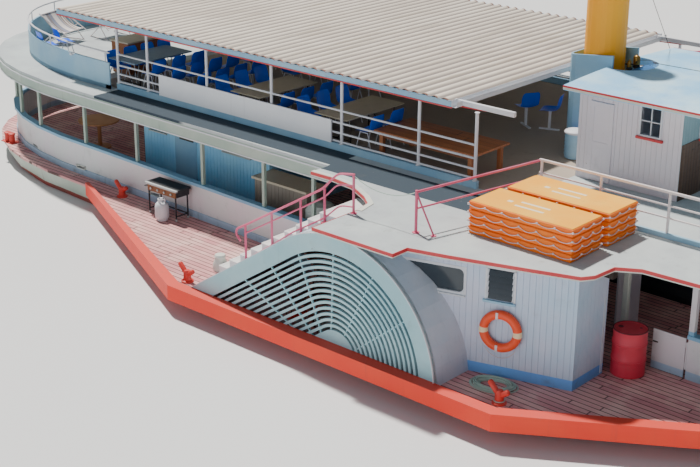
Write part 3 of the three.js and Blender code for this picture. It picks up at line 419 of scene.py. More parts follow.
# %% Hull paint
above = hull_paint.blend(hull_paint.noise(0.7, 4).step(0.35, 0.7), linear(0xA9B5A8), linear(0xBCC5B8))
below = hull_paint.blend(hull_paint.noise(1.4, 5).step(0.4, 0.7), linear(0x8E3B33), linear(0x7A4238))
edge_noise = hull_paint.noise(6.0, 3) * 0.02
boot = 1 - (hull_paint.z + edge_noise).step(0.115, 0.125)
skin = hull_paint.blend(boot, above, below)
runs = hull_paint.noise(5.0, 4, stretch=(1, 1, 0.06)).step(0.56, 0.82)
hull_paint.colour(hull_paint.blend(runs * 0.55, skin, RUST))
hull_paint.rough(0.5 + runs * 0.25)
hull_paint.bump(hull_paint.noise(3.0, 3) + hull_paint.noise(30.0, 4) * 0.2, 0.25, 0.01)
print("hull nodes:", len(hull_paint.tree.nodes))

# %% [markdown]
# ## Which solid gets which finish
#
# Every solid is painted, also one that a finer piece replaces later, so none is ever left bare.

# %% Paint the solids
LOOKS = {
    hull_paint: "hull",
    red: "rudder bollard_aft_port bollard_aft_starboard bollard_mid_port bollard_mid_starboard "
         "bollard_fore_port bollard_fore_starboard",
    drum_red: "oil_drum",
    deck_planks: "main_deck fore_hatch",
    orange_red: "guard_port guard_starboard",
    wheel_red: "paddle_wheels",
    face_teal: "paddle_face_port paddle_face_starboard",
    box_blue: "paddle_cover_port paddle_cover_starboard",
    wall_blue: "deckhouse_port deckhouse_starboard",
    cabin_blue: "cabin",
    pale_blue: "wheelhouse_roof",
    pink: "stair_port stair_starboard fore_rail",
    black: "engine boiler barbecue",
    valance_cream: "valance",
    cream: "water_tank",
    bulwark_paint: "house_bulwark fore_house bow_bulwark gate_port gate_starboard",
    blue_grey: "stern_panel funnel_shield",
    deep_blue: "cabin_door",
    canvas_deck_with_painted_shadow: "upper_deck roof",
    timber: "serving_counter pedestal_table ships_wheel steering_stand table_timber",
    white: "upper_rail_port upper_rail_starboard",
    sign_white: "sign_board",
    rope_white: "rope_coil rope_lead stair_rope",
    ochre: "funnel",
    dark_metal: "whistle",
    lilac: "wheelhouse wheelhouse_door",
    float_orange: "float_stack_outer float_stack_inner",
    buoy_orange: "lifebuoy",
    grey_top: "table_grey",
    beige: "table_beige",
}
for finish, names in LOOKS.items():
    for name in names.split():
        NODES[name].data.materials.clear()
        NODES[name].data.materials.append(finish.material)
unpainted = set(NODES) - {n for names in LOOKS.values() for n in names.split()}
print("solids without a finish:", sorted(unpainted))

# %% [markdown]
# ## Tools for making pieces
#
# Most pieces of a boat are boxes, rods, bent tubes, turned forms and plates. A class named Shape
# gathers such closed forms into one mesh, so that a rail or a chair is a short list of parts.
# A bevel modifier rounds the hard edges where that shows, and its result is kept as plain mesh.

# %% Shape
AXES = {"y": Vector((0, 1, 0)), "z": Vector((0, 0, 1))}


class Shape:
    """Closed forms gathered into one mesh, in metres, in the frame of the boat."""

    def __init__(self):
        self.mesh = bmesh.new()

    def block(self, low, high, turn=None):
        low, high = Vector(low), Vector(high)
        corners = bmesh.ops.create_cube(self.mesh, size=1.0)["verts"]
        bmesh.ops.scale(self.mesh, vec=high - low, verts=corners)
        bmesh.ops.translate(self.mesh, vec=(low + high) / 2, verts=corners)
        if turn:
            bmesh.ops.transform(self.mesh, matrix=turn, verts=corners)

    def rings(self, rings, closed=False):
        """Joins rings of corners that all have the same number of points."""
        rows = [[self.mesh.verts.new(p) for p in ring] for ring in rings]
        pairs = list(zip(rows, rows[1:])) + ([(rows[-1], rows[0])] if closed else [])
        for a, b in pairs:
            for k in range(len(a)):
                self.mesh.faces.new((a[k - 1], a[k], b[k], b[k - 1]))
        if not closed:
            self.mesh.faces.new(rows[0][::-1])
            self.mesh.faces.new(rows[-1])

    def tube(self, points, radius, sides=8, closed=False):
        """A round tube along points. The radius may be one number or one for each point."""
        points = [Vector(p) for p in points]
        count = len(points)
        radii = radius if isinstance(radius, (list, tuple)) else [radius] * count
        side = None
        rings = []
        for k, point in enumerate(points):
            before = points[k - 1] if closed or k else points[0]
            after = points[(k + 1) % count] if closed or k < count - 1 else points[-1]
            along = (after - before).normalized()
            if side is None:
                side = along.orthogonal().normalized()
            side = (side - along * side.dot(along)).normalized()
            other = along.cross(side)
            rings.append([
                point + (side * math.cos(t) + other * math.sin(t)) * radii[k]
                for t in (2 * math.pi * s / sides for s in range(sides))
            ])
        self.rings(rings, closed)

    def turned(self, profile, at, sides=20, axis="z"):
        """Turns (radius, height) pairs about an axis through at. Radii must be above 0."""
        along = AXES[axis]
        side = along.orthogonal().normalized()
        other = along.cross(side)
        self.rings([[
            Vector(at) + along * h + (side * math.cos(t) + other * math.sin(t)) * r
            for t in (2 * math.pi * s / sides for s in range(sides))
        ] for r, h in profile])

    def plate(self, points, low, high, normal="z"):
        """A flat outline made thick along its normal, from low to high."""
        self.rings([[(a, b, level) if normal == "z" else (a, level, b) for a, b in points]
                    for level in (low, high)])

    def strip(self, left, right, low, high, normal="z"):
        """A band between two lines of equal length, made thick along the normal."""
        def place(point, level):
            a, b = point
            return (a, b, level) if normal == "z" else (a, level, b)
        self.rings([[place(a, low), place(b, low), place(b, high), place(a, high)]
                    for a, b in zip(left, right)])

    def join(self, mesh, matrix=None):
        start = len(self.mesh.verts)
        self.mesh.from_mesh(mesh)
        if matrix:
            self.mesh.verts.ensure_lookup_table()
            bmesh.ops.transform(self.mesh, matrix=matrix, verts=self.mesh.verts[start:])

    def to_mesh(self, name, bevel=0.0, smooth=40, segments=1):
        bmesh.ops.recalc_face_normals(self.mesh, faces=self.mesh.faces)
        mesh = bpy.data.meshes.new(name)
        self.mesh.to_mesh(mesh)
        if bevel:
            mesh = with_modifier(mesh, "BEVEL", width=bevel, segments=segments,
                                 limit_method="ANGLE", angle_limit=math.radians(50))
        mesh.shade_smooth()
        mesh.set_sharp_from_angle(angle=math.radians(smooth))
        return mesh

    def piece(self, name, finish, body="boat", stands_for=(), bevel=0.0, smooth=40, segments=1):
        mesh = self.to_mesh(name, bevel, smooth, segments)
        return add_piece(name, mesh, finish, body, stands_for)


def with_modifier(mesh, kind, **settings):
    """The mesh after one modifier."""
    carrier = bpy.data.objects.new("carrier", mesh)
    bpy.context.collection.objects.link(carrier)
    modifier = carrier.modifiers.new("step", kind)
    for key, value in settings.items():
        setattr(modifier, key, value)
    return plain_mesh(carrier)


def plain_mesh(carrier):
    """The evaluated mesh of an object, which is then removed."""
    graph = bpy.context.evaluated_depsgraph_get()
    mesh = bpy.data.meshes.new_from_object(carrier.evaluated_get(graph), depsgraph=graph)
    bpy.data.objects.remove(carrier)
    return mesh


PIECES = {}


def add_piece(name, mesh, finish, body="boat", stands_for=()):
    piece = bpy.data.objects.new(name, mesh)
    bpy.context.collection.objects.link(piece)
    mesh.materials.clear()
    mesh.materials.append(finish.material)
    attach(piece, body)
    if stands_for:
        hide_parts(*([stands_for] if isinstance(stands_for, str) else stands_for))
    PIECES[name] = piece
    return piece


def merged_copy(node):
    """A node's mesh with its doubled corners joined, to be cut or thickened."""
    shape = bmesh.new()
    shape.from_mesh(NODES[node].data)
    bmesh.ops.remove_doubles(shape, verts=shape.verts, dist=0.0001)
    mesh = bpy.data.meshes.new(node + "_copy")
    shape.to_mesh(mesh)
    return mesh


def rounded(points, radius, steps=4):
    """A line whose corners are bent to a radius, as a tube bender does."""
    points = [Vector(p) for p in points]
    line = [points[0]]
    for before, corner, after in zip(points, points[1:], points[2:]):
        reach = min(radius, (corner - before).length / 2, (after - corner).length / 2)
        start = corner + (before - corner).normalized() * reach
        end = corner + (after - corner).normalized() * reach
        for step in range(steps + 1):
            t = step / steps
            line.append(start * (1 - t) ** 2 + corner * 2 * t * (1 - t) + end * t ** 2)
    line.append(points[-1])
    return line


def other_side(points):
    return [(p[0], -p[1], *p[2:]) for p in points]


# %% [markdown]
# ## Geometry Nodes recipes
#
# What repeats on the boat, such as the seams between boards, corrugations, eyelets and chairs, is
# made by Geometry Nodes. A Recipe holds one tree and its named inputs. grow() sets the inputs,
# evaluates the object once and keeps the result as a plain mesh, because an export can't carry
# instances.

# %% Recipe
SOCKETS = {float: "NodeSocketFloat", int: "NodeSocketInt", tuple: "NodeSocketVector"}


class Recipe:
    """A Geometry Nodes tree with named inputs and one node-making method."""

    def __init__(self, name, **inputs):
        self.tree = bpy.data.node_groups.new(name, "GeometryNodeTree")
        face = self.tree.interface
        face.new_socket("Geometry", in_out="INPUT", socket_type="NodeSocketGeometry")
        for key, value in inputs.items():
            socket = face.new_socket(key, in_out="INPUT", socket_type=SOCKETS[type(value)])
            socket.default_value = value
        face.new_socket("Geometry", in_out="OUTPUT", socket_type="NodeSocketGeometry")
        self.entry = self.tree.nodes.new("NodeGroupInput").outputs
        self.end = self.tree.nodes.new("NodeGroupOutput").inputs

    def node(self, kind, settings, sockets):
        node = self.tree.nodes.new(kind)
        for key, value in settings.items():
            setattr(node, key, value)
        for key, value in sockets.items():
            if isinstance(value, bpy.types.NodeSocket):
                self.tree.links.new(value, node.inputs[key])
            else:
                node.inputs[key].default_value = value
        return node.outputs[0]

    def maths(self, operation, *values):
        return self.node("ShaderNodeMath", {"operation": operation}, dict(enumerate(values)))

    def vector(self, x, y, z):
        return self.node("ShaderNodeCombineXYZ", {}, {0: x, 1: y, 2: z})

    def finish_with(self, geometry, finish):
        real = self.node("GeometryNodeRealizeInstances", {}, {"Geometry": geometry})
        painted = self.node("GeometryNodeSetMaterial", {},
                            {"Geometry": real, "Material": finish.material})
        self.tree.links.new(painted, self.end[0])
        return self


def grow(recipe, base=None, **values):
    """The mesh that a recipe makes from a base mesh, with these values for its inputs."""
    carrier = bpy.data.objects.new("carrier", base or bpy.data.meshes.new("empty"))
    bpy.context.collection.objects.link(carrier)
    modifier = carrier.modifiers.new("recipe", "NODES")
    modifier.node_group = recipe.tree
    names = {s.name: s.identifier for s in recipe.tree.interface.items_tree
             if s.item_type == "SOCKET" and s.in_out == "INPUT"}
    for key, value in values.items():
        modifier[names[key]] = value
    return plain_mesh(carrier)


# %% [markdown]
# ## Seams cut by a recipe
#
# Deck planks and tongue-and-groove boards are flat faces with thin grooves. Laying each board by
# itself would need hundreds of clipped outlines. It is simpler to take the finished solid and cut
# a row of thin slots into it, which follow every window and notch by themselves.

# %% Seams recipe
def seams_recipe(finish):
    recipe = Recipe("seams_" + finish.material.name, Count=10, Start=(0.0, 0.0, 0.0),
                    Step=(0.0, 0.0, 0.1), Slot=(1.0, 0.004, 0.01), Turn=0.0)
    line = recipe.node("GeometryNodeMeshLine", {"mode": "OFFSET"}, {
        "Count": recipe.entry["Count"], "Start Location": recipe.entry["Start"],
        "Offset": recipe.entry["Step"]})
    slot = recipe.node("GeometryNodeMeshCube", {}, {"Size": recipe.entry["Slot"]})
    turn = recipe.vector(0.0, 0.0, recipe.entry["Turn"])
    row = recipe.node("GeometryNodeInstanceOnPoints", {},
                      {"Points": line, "Instance": slot, "Rotation": turn})
    row = recipe.node("GeometryNodeRealizeInstances", {}, {"Geometry": row})
    cut = recipe.node("GeometryNodeMeshBoolean", {"operation": "DIFFERENCE", "solver": "MANIFOLD"},
                      {"Mesh 1": recipe.entry["Geometry"], "Mesh 2": row})
    return recipe.finish_with(cut, finish)


def grooved(name, finish, rows, mesh=None):
    """A mesh with rows of seams. Without a mesh it is a copy of a node and stands for it."""
    recipe = seams_recipe(finish)
    stands_for = () if mesh else name
    mesh = mesh or merged_copy(name)
    for row in rows:
        mesh = grow(recipe, mesh, **row)
    mesh.shade_flat()
    add_piece(name + "_boards", mesh, finish, "boat", stands_for)


# %% [markdown]
# ## Two ropes
#
# Two ropes hang or lie free, so they come before everything else that is built. One closes the
# head of the stair and sags between two posts. The other is a mooring rope that leads from its
# post to an oval coil on the deck. A laid rope is three strands twisted together, and that shows
# as a turning three-lobed section, so the tube gets that section instead of a painted pattern.

# %% Laid rope
def smooth_line(points, steps):
    """A curve through all points, with some steps between each pair."""
    points = [Vector(p) for p in points]
    line = []
    for k in range(len(points) - 1):
        before, a = points[max(0, k - 1)], points[k]
        b, after = points[k + 1], points[min(len(points) - 1, k + 2)]
        for step in range(steps):
            t = step / steps
            line.append(0.5 * (2 * a + (b - before) * t
                               + (2 * before - 5 * a + 4 * b - after) * t ** 2
                               + (3 * a - before - 3 * b + after) * t ** 3))
    return line + [points[-1]]


def length_of(line):
    return sum((Vector(b) - Vector(a)).length for a, b in zip(line, line[1:]))


def laid_rope(shape, line, diameter, sides=12, closed=False):
    """Three strands twisted together, one turn in about five diameters."""
    count = len(line)
    side, run, rings = None, 0.0, []
    for k, point in enumerate(line):
        before = line[k - 1] if closed or k else line[0]
        after = line[(k + 1) % count] if closed or k < count - 1 else line[-1]
        along = (after - before).normalized()
        side = along.orthogonal() if side is None else side
        side = (side - along * side.dot(along)).normalized()
        other = along.cross(side)
        run += (point - line[k - 1]).length if k else 0.0
        twist = 2 * math.pi * run / (diameter * 5.0)
        rings.append([
            point + (side * math.cos(t) + other * math.sin(t))
            * diameter / 2 * (0.93 + 0.07 * math.cos(3 * (t - twist)))
            for t in (2 * math.pi * s / sides for s in range(sides))
        ])
    shape.rings(rings, closed)


# %% Rope across the head of the stair
STAIR_ROPE = 0.016
STAIR_ROPE_LINE = [
    (-0.398, -6.260, 3.402), (-0.32, -6.260, 3.366), (-0.24, -6.259, 3.334), (-0.16, -6.259, 3.307),
    (-0.08, -6.258, 3.285), (0.0, -6.257, 3.267), (0.08, -6.256, 3.255), (0.16, -6.256, 3.247),
    (0.24, -6.255, 3.243), (0.32, -6.254, 3.244), (0.40, -6.253, 3.249), (0.48, -6.253, 3.259),
    (0.56, -6.252, 3.273), (0.64, -6.251, 3.292), (0.72, -6.251, 3.316), (0.80, -6.250, 3.344),
    (0.88, -6.250, 3.376), (0.975, -6.250, 3.421),
]
rope_line = smooth_line(STAIR_ROPE_LINE, 7)
rope = Shape()
laid_rope(rope, rope_line, STAIR_ROPE)
stair_rope = rope.piece("stair_head_rope", rope_white, stands_for="stair_rope", smooth=60)
print("stair rope:", round(length_of(rope_line), 3), "m")

# %% Mooring rope
ROPE = 0.024
COIL_AT = Vector((2.9, -6.44, ON_MAIN + ROPE / 2))
COIL_LONG, COIL_WIDE = 0.45, 0.30
COIL_TURN = math.radians(16.96)
COIL_KEYS = [
    # turns so far, size, height, extra turn in degrees, shift along, shift across
    (0.0, 0.86, 0.0, 0.0, 0.0, 0.0),
    (4.5, 0.51, 0.0, 0.0, 0.0, 0.0),
    (4.9, 0.53, 0.0225, 4.0, 0.008, -0.006),
    (9.0, 0.84, 0.0225, 4.0, 0.008, -0.006),
    (9.6, 0.935, 0.0, 0.0, 0.0, 0.0),
    (10.2, 0.935, 0.0, 0.0, 0.0, 0.0),
    (10.8, 0.80, 0.045, -6.0, -0.012, 0.004),
    (12.5, 0.65, 0.045, -6.0, -0.012, 0.004),
]
ROPE_LEAD = [
    (3.285, -6.822, 0.556), (3.254, -6.780, 0.549), (3.230, -6.746, 0.539),
    (3.204, -6.712, 0.527), (3.176, -6.676, 0.518), (3.158, -6.658, 0.5145),
    (3.138, -6.647, 0.5130), (3.116, -6.641, 0.5125), (3.090, -6.642, 0.5123),
]


def coil_point(turns):
    """The rope's centre after some turns of the coil, between the keys on either side."""
    place = next(k for k in range(len(COIL_KEYS) - 1) if turns <= COIL_KEYS[k + 1][0])
    before, after = COIL_KEYS[place], COIL_KEYS[place + 1]
    share = (turns - before[0]) / (after[0] - before[0])
    size, height, skew, along, across = (a + (b - a) * share for a, b in zip(before[1:], after[1:]))
    angle = math.radians(-77) - 2 * math.pi * turns
    size *= 1 + 0.012 * math.sin(3 * angle + height * 90)
    turn = Matrix.Rotation(COIL_TURN + math.radians(skew), 3, "Z")
    return COIL_AT + turn @ Vector((COIL_LONG * size * math.cos(angle) + along,
                                    COIL_WIDE * size * math.sin(angle) + across, height))


COIL_TURNS = COIL_KEYS[-1][0]
mooring_route = list(ROPE_LEAD)
mooring_route += [coil_point(k / 24) for k in range(round(COIL_TURNS * 24) + 1)]
mooring_line = smooth_line(mooring_route, 5)
rope = Shape()
laid_rope(rope, mooring_line, ROPE, 10)
mooring_rope = rope.piece("mooring_rope", rope_white, stands_for=("rope_coil", "rope_lead"),
                          smooth=60)
eye = Shape()
laid_rope(eye, [Vector((3.34 + 0.089 * math.cos(t), -6.88 + 0.089 * math.sin(t), 0.556))
                for t in (2 * math.pi * k / 48 for k in range(48))], ROPE, 10, closed=True)
eye.piece("mooring_rope_eye", rope_white, smooth=60)
print("mooring rope:", round(length_of(mooring_line), 2), "m in", COIL_TURNS, "turns")

# %% [markdown]
# ## Planked main deck
#
# The deck's planks run fore and aft, painted a red that has worn down to pale salmon. Long slots
# make the seams, and the finish gives each plank its own tone by counting the same width.

# %% Planked main deck
PLANK = 0.13
deck_low, deck_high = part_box("main_deck")
seam_count = int((deck_high.y - deck_low.y) / PLANK) - 1
grooved("main_deck", deck_planks, [dict(
    Count=seam_count, Start=(0.0, -PLANK * (seam_count - 1) / 2, deck_high.z),
    Step=(0.0, PLANK, 0.0), Slot=(40.0, 0.008, 0.012))])
print("planks:", seam_count + 1, "each", PLANK, "m wide")

# %% [markdown]
# ## The paddle box
#
# The face of a paddle box is slatted so that air and spray can leave it. The slats follow the
# box's own outline, an arc that runs out into a straight slope aft. So one function gives that
# outline for any radius, and each slat is the band between two outlines. Thin struts fan out
# from the shaft behind the slats, a plate closes the middle, and a flange runs round the edge.

# %% Slatted faces
BOX_CENTRE = 0.4
BOX_RADIUS = 2.24
BOX_SLOPE = math.radians(33.3)
FACE_OUT, FACE_IN = 7.1897, 7.13
SLOTS = 14
SLOT_FIRST, SLOT_LAST = 1.87, 0.48
SLOT_WIDTH = 0.056


def box_line(radius, steps=26):
    """The outline of the box at a radius, as (x, z), from its fore foot over the top and aft."""
    start = math.asin((ON_MAIN - BOX_CENTRE) / radius)
    turn = math.pi / 2 + BOX_SLOPE - start
    line = [(radius * math.cos(start + turn * k / steps),
             BOX_CENTRE + radius * math.sin(start + turn * k / steps)) for k in range(steps + 1)]
    x, z = line[-1]
    foot = x - (z - ON_MAIN) / math.tan(BOX_SLOPE)
    line += [(x + (foot - x) * k / 5, z + (ON_MAIN - z) * k / 5) for k in range(1, 6)]
    return line


FAN_FOOT = Vector((-0.15, 0.13))  # where the struts would meet, as (x, z)


def outline_radius(point):
    """The radius of the box outline that passes through a point (x, z)."""
    rise = point.y - BOX_CENTRE
    if math.atan2(rise, point.x) > math.pi / 2 + BOX_SLOPE:
        return rise * math.cos(BOX_SLOPE) - point.x * math.sin(BOX_SLOPE)
    return math.hypot(point.x, rise)


def fan_point(degrees, radius):
    """Where a strut of the fan reaches the outline of a radius, above the deck."""
    turn = math.radians(degrees)
    end = Vector((-0.15 + 3.3 * math.cos(turn), BOX_CENTRE + 3.23 * math.sin(turn)))
    for k in range(500):
        point = FAN_FOOT.lerp(end, k / 500)
        if point.y > 0.52 and outline_radius(point) > radius:
            return point
    return end


slot_radii = [SLOT_FIRST + (SLOT_LAST - SLOT_FIRST) * k / (SLOTS - 1) for k in range(SLOTS)]
for side, name in SIDES:
    face = Shape()
    low, high = sorted((side * FACE_IN, side * FACE_OUT))
    edges = [BOX_RADIUS] + [r + s * SLOT_WIDTH / 2 for r in slot_radii for s in (1, -1)]
    for outer, inner in zip(edges[0::2], edges[1::2]):
        face.strip(box_line(outer), box_line(inner), low, high, "y")
    face.plate(box_line(edges[-1], steps=18), low, high, "y")
    for degrees in (8, 36, 62, 88, 113, 137, 158):
        start, end = fan_point(degrees, SLOT_LAST - 0.06), fan_point(degrees, SLOT_FIRST + 0.06)
        across = Vector((start.y - end.y, end.x - start.x)).normalized() * 0.013
        corners = [start - across, end - across, end + across, start + across]
        face.plate(corners, *sorted((side * (FACE_IN + 0.005), side * (FACE_OUT - 0.02))), "y")
    face.piece(f"slatted_face_{name}", face_teal, stands_for=f"paddle_face_{name}", smooth=30)
    rim = Shape()
    rim.strip(box_line(BOX_RADIUS), box_line(BOX_RADIUS - 0.012),
              *sorted((side * FACE_IN, side * (FACE_OUT + 0.03))), "y")
    rim.piece(f"face_flange_{name}", white, smooth=30)
print("slots:", SLOTS, "radii", round(slot_radii[0], 2), "to", round(slot_radii[-1], 2))

# %% [markdown]
# ## Edges of the upper deck
#
# The upper deck is painted canvas on boards, and a red moulding runs round its edge. The line of
# the edge is the deck's own outline, so it is written down once, shifted outwards a little, and
# swept as a thin band.

# %% Deck edge
def shifted(points, distance):
    """A line moved to its left by a distance."""
    moved = []
    for k, (x, y) in enumerate(points):
        (ax, ay), (bx, by) = points[max(0, k - 1)], points[min(len(points) - 1, k + 1)]
        first = math.atan2(y - ay, x - ax) if k else math.atan2(by - y, bx - x)
        last = math.atan2(by - y, bx - x) if k < len(points) - 1 else first
        last += 2 * math.pi * round((first - last) / (2 * math.pi))
        turn = (first + last) / 2 + math.pi / 2
        reach = distance / max(0.5, math.cos((last - first) / 2))
        moved.append((x + reach * math.cos(turn), y + reach * math.sin(turn)))
    return moved


def round_end(start, tip, half, power=2.6, steps=14):
    """A rounded end from the tip on the centreline to where the sides start, as (x, y)."""
    line = []
    for k in range(steps + 1):
        turn = math.pi / 2 * (1 - k / steps)
        x = start + (tip - start) * math.sin(turn) ** (2 / power)
        line.append((x, 0.0 if k == 0 else half * math.cos(turn) ** (2 / power)))
    return line


NOTCH = [(-2.58, 5.07), (-2.04, 5.06), (-1.45, 5.15), (-0.87, 5.46), (-0.57, 5.70),
         (-0.48, 6.10), (-0.47, 7.27)]
FORE_EDGE = [(1.34, 7.27), (1.34, 6.89), (2.04, 6.70), (3.35, 6.28), (4.18, 6.00), (4.31, 5.80),
             (4.35, 5.28), (4.73, 5.05)] + round_end(6.0, 8.8, 4.99)[::-1]
edge_mould = Shape()
light_mould = Shape()
for line in (NOTCH + FORE_EDGE, other_side(NOTCH + FORE_EDGE)):
    out = -1 if line[0][1] < 0 else 1
    near, proud = line, shifted(line, 0.014 * out)
    edge_mould.strip(near, proud, UPPER_DECK - 0.056, UPPER_DECK + 0.004)
    light_mould.strip(near, shifted(line, 0.009 * out), UPPER_DECK - 0.078, UPPER_DECK - 0.056)
    inner = shifted(line[:6], -0.10 * out)
    light_mould.strip(line[:6], inner, UPPER_DECK, UPPER_DECK + 0.012)
edge_mould.piece("upper_deck_red_edge", trim_red)
light_mould.piece("upper_deck_light_edge", cream)
print("deck edge:", len(FORE_EDGE), "points on each side")

# %% [markdown]
# ## Roof
#
# The roof is corrugated sheet laid across the boat. A corrugation follows a rule, so a recipe
# makes it: a fine grid is lifted by a sine of its place along the boat. Below it hang a fascia
# and a red line, and at the fore end there is a gutter beam whose arms carry on to the posts.
# The paint is cream on the crests, darker in the valleys, with rust along the eaves.

# %% Corrugated roof
ROOF_AFT, ROOF_FORE, ROOF_HALF, ROOF_TOP = -12.1, -0.2, 3.8, 4.33
ROOF_PITCH, ROOF_DEPTH = 0.238, 0.020
SHEET_MIDDLE = ROOF_TOP - 0.021
corrugated = Recipe("corrugated_sheet", Length=1.0, Width=1.0, Pitch=0.1, Depth=0.02, Steps=10)
sheet = corrugated.node("GeometryNodeMeshGrid", {}, {
    "Size X": corrugated.entry["Length"], "Size Y": corrugated.entry["Width"],
    "Vertices X": corrugated.entry["Steps"], "Vertices Y": 3})
place = corrugated.node("GeometryNodeInputPosition", {}, {})
along = corrugated.node("ShaderNodeSeparateXYZ", {}, {0: place})
wave = corrugated.maths("MULTIPLY", along, 2 * math.pi)
wave = corrugated.maths("DIVIDE", wave, corrugated.entry["Pitch"])
lift = corrugated.maths("MULTIPLY", corrugated.maths("SINE", wave), corrugated.entry["Depth"])
sheet = corrugated.node("GeometryNodeSetPosition", {},
                        {"Geometry": sheet, "Offset": corrugated.vector(0.0, 0.0, lift)})
roof_paint = Finish("roof_sheet_paint", 0.55, 0.1)
corrugated.finish_with(sheet, roof_paint)

ROOF_WAVES = round((ROOF_FORE - ROOF_AFT) / ROOF_PITCH)
roof_mesh = grow(corrugated, Length=ROOF_FORE - ROOF_AFT, Width=2 * ROOF_HALF,
                 Pitch=(ROOF_FORE - ROOF_AFT) / ROOF_WAVES, Depth=ROOF_DEPTH,
                 Steps=ROOF_WAVES * 12 + 1)
roof_mesh.transform(Matrix.Translation(((ROOF_AFT + ROOF_FORE) / 2, 0, SHEET_MIDDLE)))
roof_mesh = with_modifier(roof_mesh, "SOLIDIFY", thickness=0.004, offset=-1)
roof_mesh.shade_smooth()
roof_mesh.set_sharp_from_angle(angle=math.radians(50))
add_piece("roof_corrugated_sheet", roof_mesh, roof_paint, "boat", "roof")
print("roof:", ROOF_WAVES, "corrugations")

# %% Roof paint
clouds = roof_paint.noise(0.8, 4).step(0.35, 0.7)
tone = roof_paint.blend(clouds, linear(0xEAE2D4), linear(0xDCD2C4))
# each corrugation is painted darker towards the bottom of its valley
valley = 1 - (roof_paint.z - SHEET_MIDDLE).step(-0.018, 0.014)
tone = roof_paint.blend(valley * 0.85, tone, linear(0x756C6C))
streak = roof_paint.noise(9.0, 3, stretch=(1, 0.05, 1)).step(0.5, 0.75)
tone = roof_paint.blend(streak * 0.5, tone, linear(0x9C9280))
edge_rust = (abs(roof_paint.y) + roof_paint.noise(14.0, 3) * 0.12).step(3.78, 3.84)
tone = roof_paint.blend(edge_rust * 0.9, tone, linear(0x7B4636))
roof_paint.colour(tone)
roof_paint.bump(roof_paint.noise(30.0, 3), 0.2, 0.003)
print("roof paint nodes:", len(roof_paint.tree.nodes))


# %% Fascia, red line, frame and gutter
def along_eaves(shape, side, near, far, low, high):
    near, far = sorted((side * near, side * far))
    shape.block((ROOF_AFT, near, low), (ROOF_FORE, far, high))


fascia, red_line = Shape(), Shape()
for s in (1, -1):
    along_eaves(fascia, s, 3.77, 3.79, 4.185, 4.30)
    along_eaves(red_line, s, 3.765, 3.797, 4.160, 4.184)
    red_line.tube(rounded([(-0.26, s * 3.6, 4.17), (0.35, s * 3.6, 4.19), (1.08, s * 3.6, 4.26)],
                          0.3), 0.013)
fascia.block((ROOF_AFT + 0.005, -3.77, 4.185), (ROOF_AFT + 0.03, 3.77, 4.30))
fascia.piece("roof_fascia", blue_grey, bevel=0.004)
red_line.piece("roof_red_line", trim_red)
frame_bars = Shape()
for x in (-9.0, -6.0, -3.0, -11.9, -0.45):
    frame_bars.block((x - 0.03, -3.76, 4.20), (x + 0.03, 3.76, 4.29))
for y in (-3.7, -1.85, 0.0, 1.85, 3.7):
    frame_bars.block((ROOF_AFT + 0.05, y - 0.025, 4.21), (ROOF_FORE - 0.05, y + 0.025, 4.285))
frame_bars.piece("roof_frame", cream, bevel=0.004)
gutter = Shape()
profile = [(-0.20, 4.315), (-0.20, 4.205), (-0.17, 4.185), (-0.10, 4.185), (-0.07, 4.205),
           (-0.07, 4.30), (-0.078, 4.30), (-0.078, 4.21), (-0.103, 4.193), (-0.167, 4.193),
           (-0.192, 4.21), (-0.192, 4.315)]
gutter.plate(profile, -3.8, 3.8, "y")
for s in (1, -1):
    gutter.block((-0.26, s * 3.6 - 0.035, 4.205), (1.10, s * 3.6 + 0.035, 4.30))
gutter.piece("roof_gutter", white, bevel=0.003)
print("roof edge at", ROOF_HALF, "m from the centreline")

# %% [markdown]
# ## Side rails of the upper deck
#
# Steel tubes: posts with small round heads carry four rails in each bay. They stand on a low
# coaming of blue boards. Rails and posts of one side are one welded thing, so they are one piece.

# %% Upper side rails
POSTS_X = (-10.0, -8.95, -6.98, -5.0, -3.02, -1.03, 0.33)
RAIL_LINE = 3.7
for s, side in SIDES:
    y = s * RAIL_LINE
    rails = Shape()
    for x in POSTS_X:
        rails.turned([(0.055, 2.845), (0.055, 2.857), (0.033, 2.86), (0.033, 4.16), (0.05, 4.165),
                      (0.05, 4.17)], (x, y, 0), 14)
    for z in (2.89, 3.07, 3.28, 3.54):
        rails.tube([(POSTS_X[0], y, z), (POSTS_X[-1], y, z)], 0.022, 10)
    rails.piece(f"side_rails_{side}", white, stands_for=f"upper_rail_{side}")
    coaming = Shape()
    coaming.block((-10.04, y - 0.04, ON_UPPER), (0.4, y + 0.04, 2.83))
    coaming.block((-10.04, y - 0.05, 2.83), (0.4, y + 0.05, 2.85))
    coaming.piece(f"side_coaming_{side}", blue_grey, bevel=0.006)
print("rail posts:", 2 * len(POSTS_X))

# %% [markdown]
# ## Walls of narrow boards
#
# The deckhouses, the cabin, the wheelhouse and the counter are faced with narrow upright boards.
# The walls are already there as solids with their doors and windows cut, so the seams recipe
# cuts a row of thin upright slots along each wall.

# %% Boarded walls
BOARD = 0.105
GROOVE = 0.007
CORNER_BOARD = 0.06


def wall_row(start, end, low, high):
    """Slots for the boards of one wall that runs from start to end, both (x, y)."""
    start, end = Vector(start), Vector(end)
    span = (end - start).length - 2 * CORNER_BOARD
    along = (end - start).normalized()
    count = max(2, round(span / BOARD))
    first = start + along * CORNER_BOARD
    step = along * span / (count - 1)
    return dict(Count=count, Start=(first.x, first.y, (low + high) / 2),
                Step=(step.x, step.y, 0.0), Slot=(GROOVE, 0.018, high - low),
                Turn=math.atan2(along.y, along.x))


def around(corners, low, high, closed=True):
    """Rows of slots for walls that join the corners."""
    ends = list(zip(corners, corners[1:] + corners[:1]))
    return [wall_row(a, b, low, high) for a, b in (ends if closed else ends[:-1])]


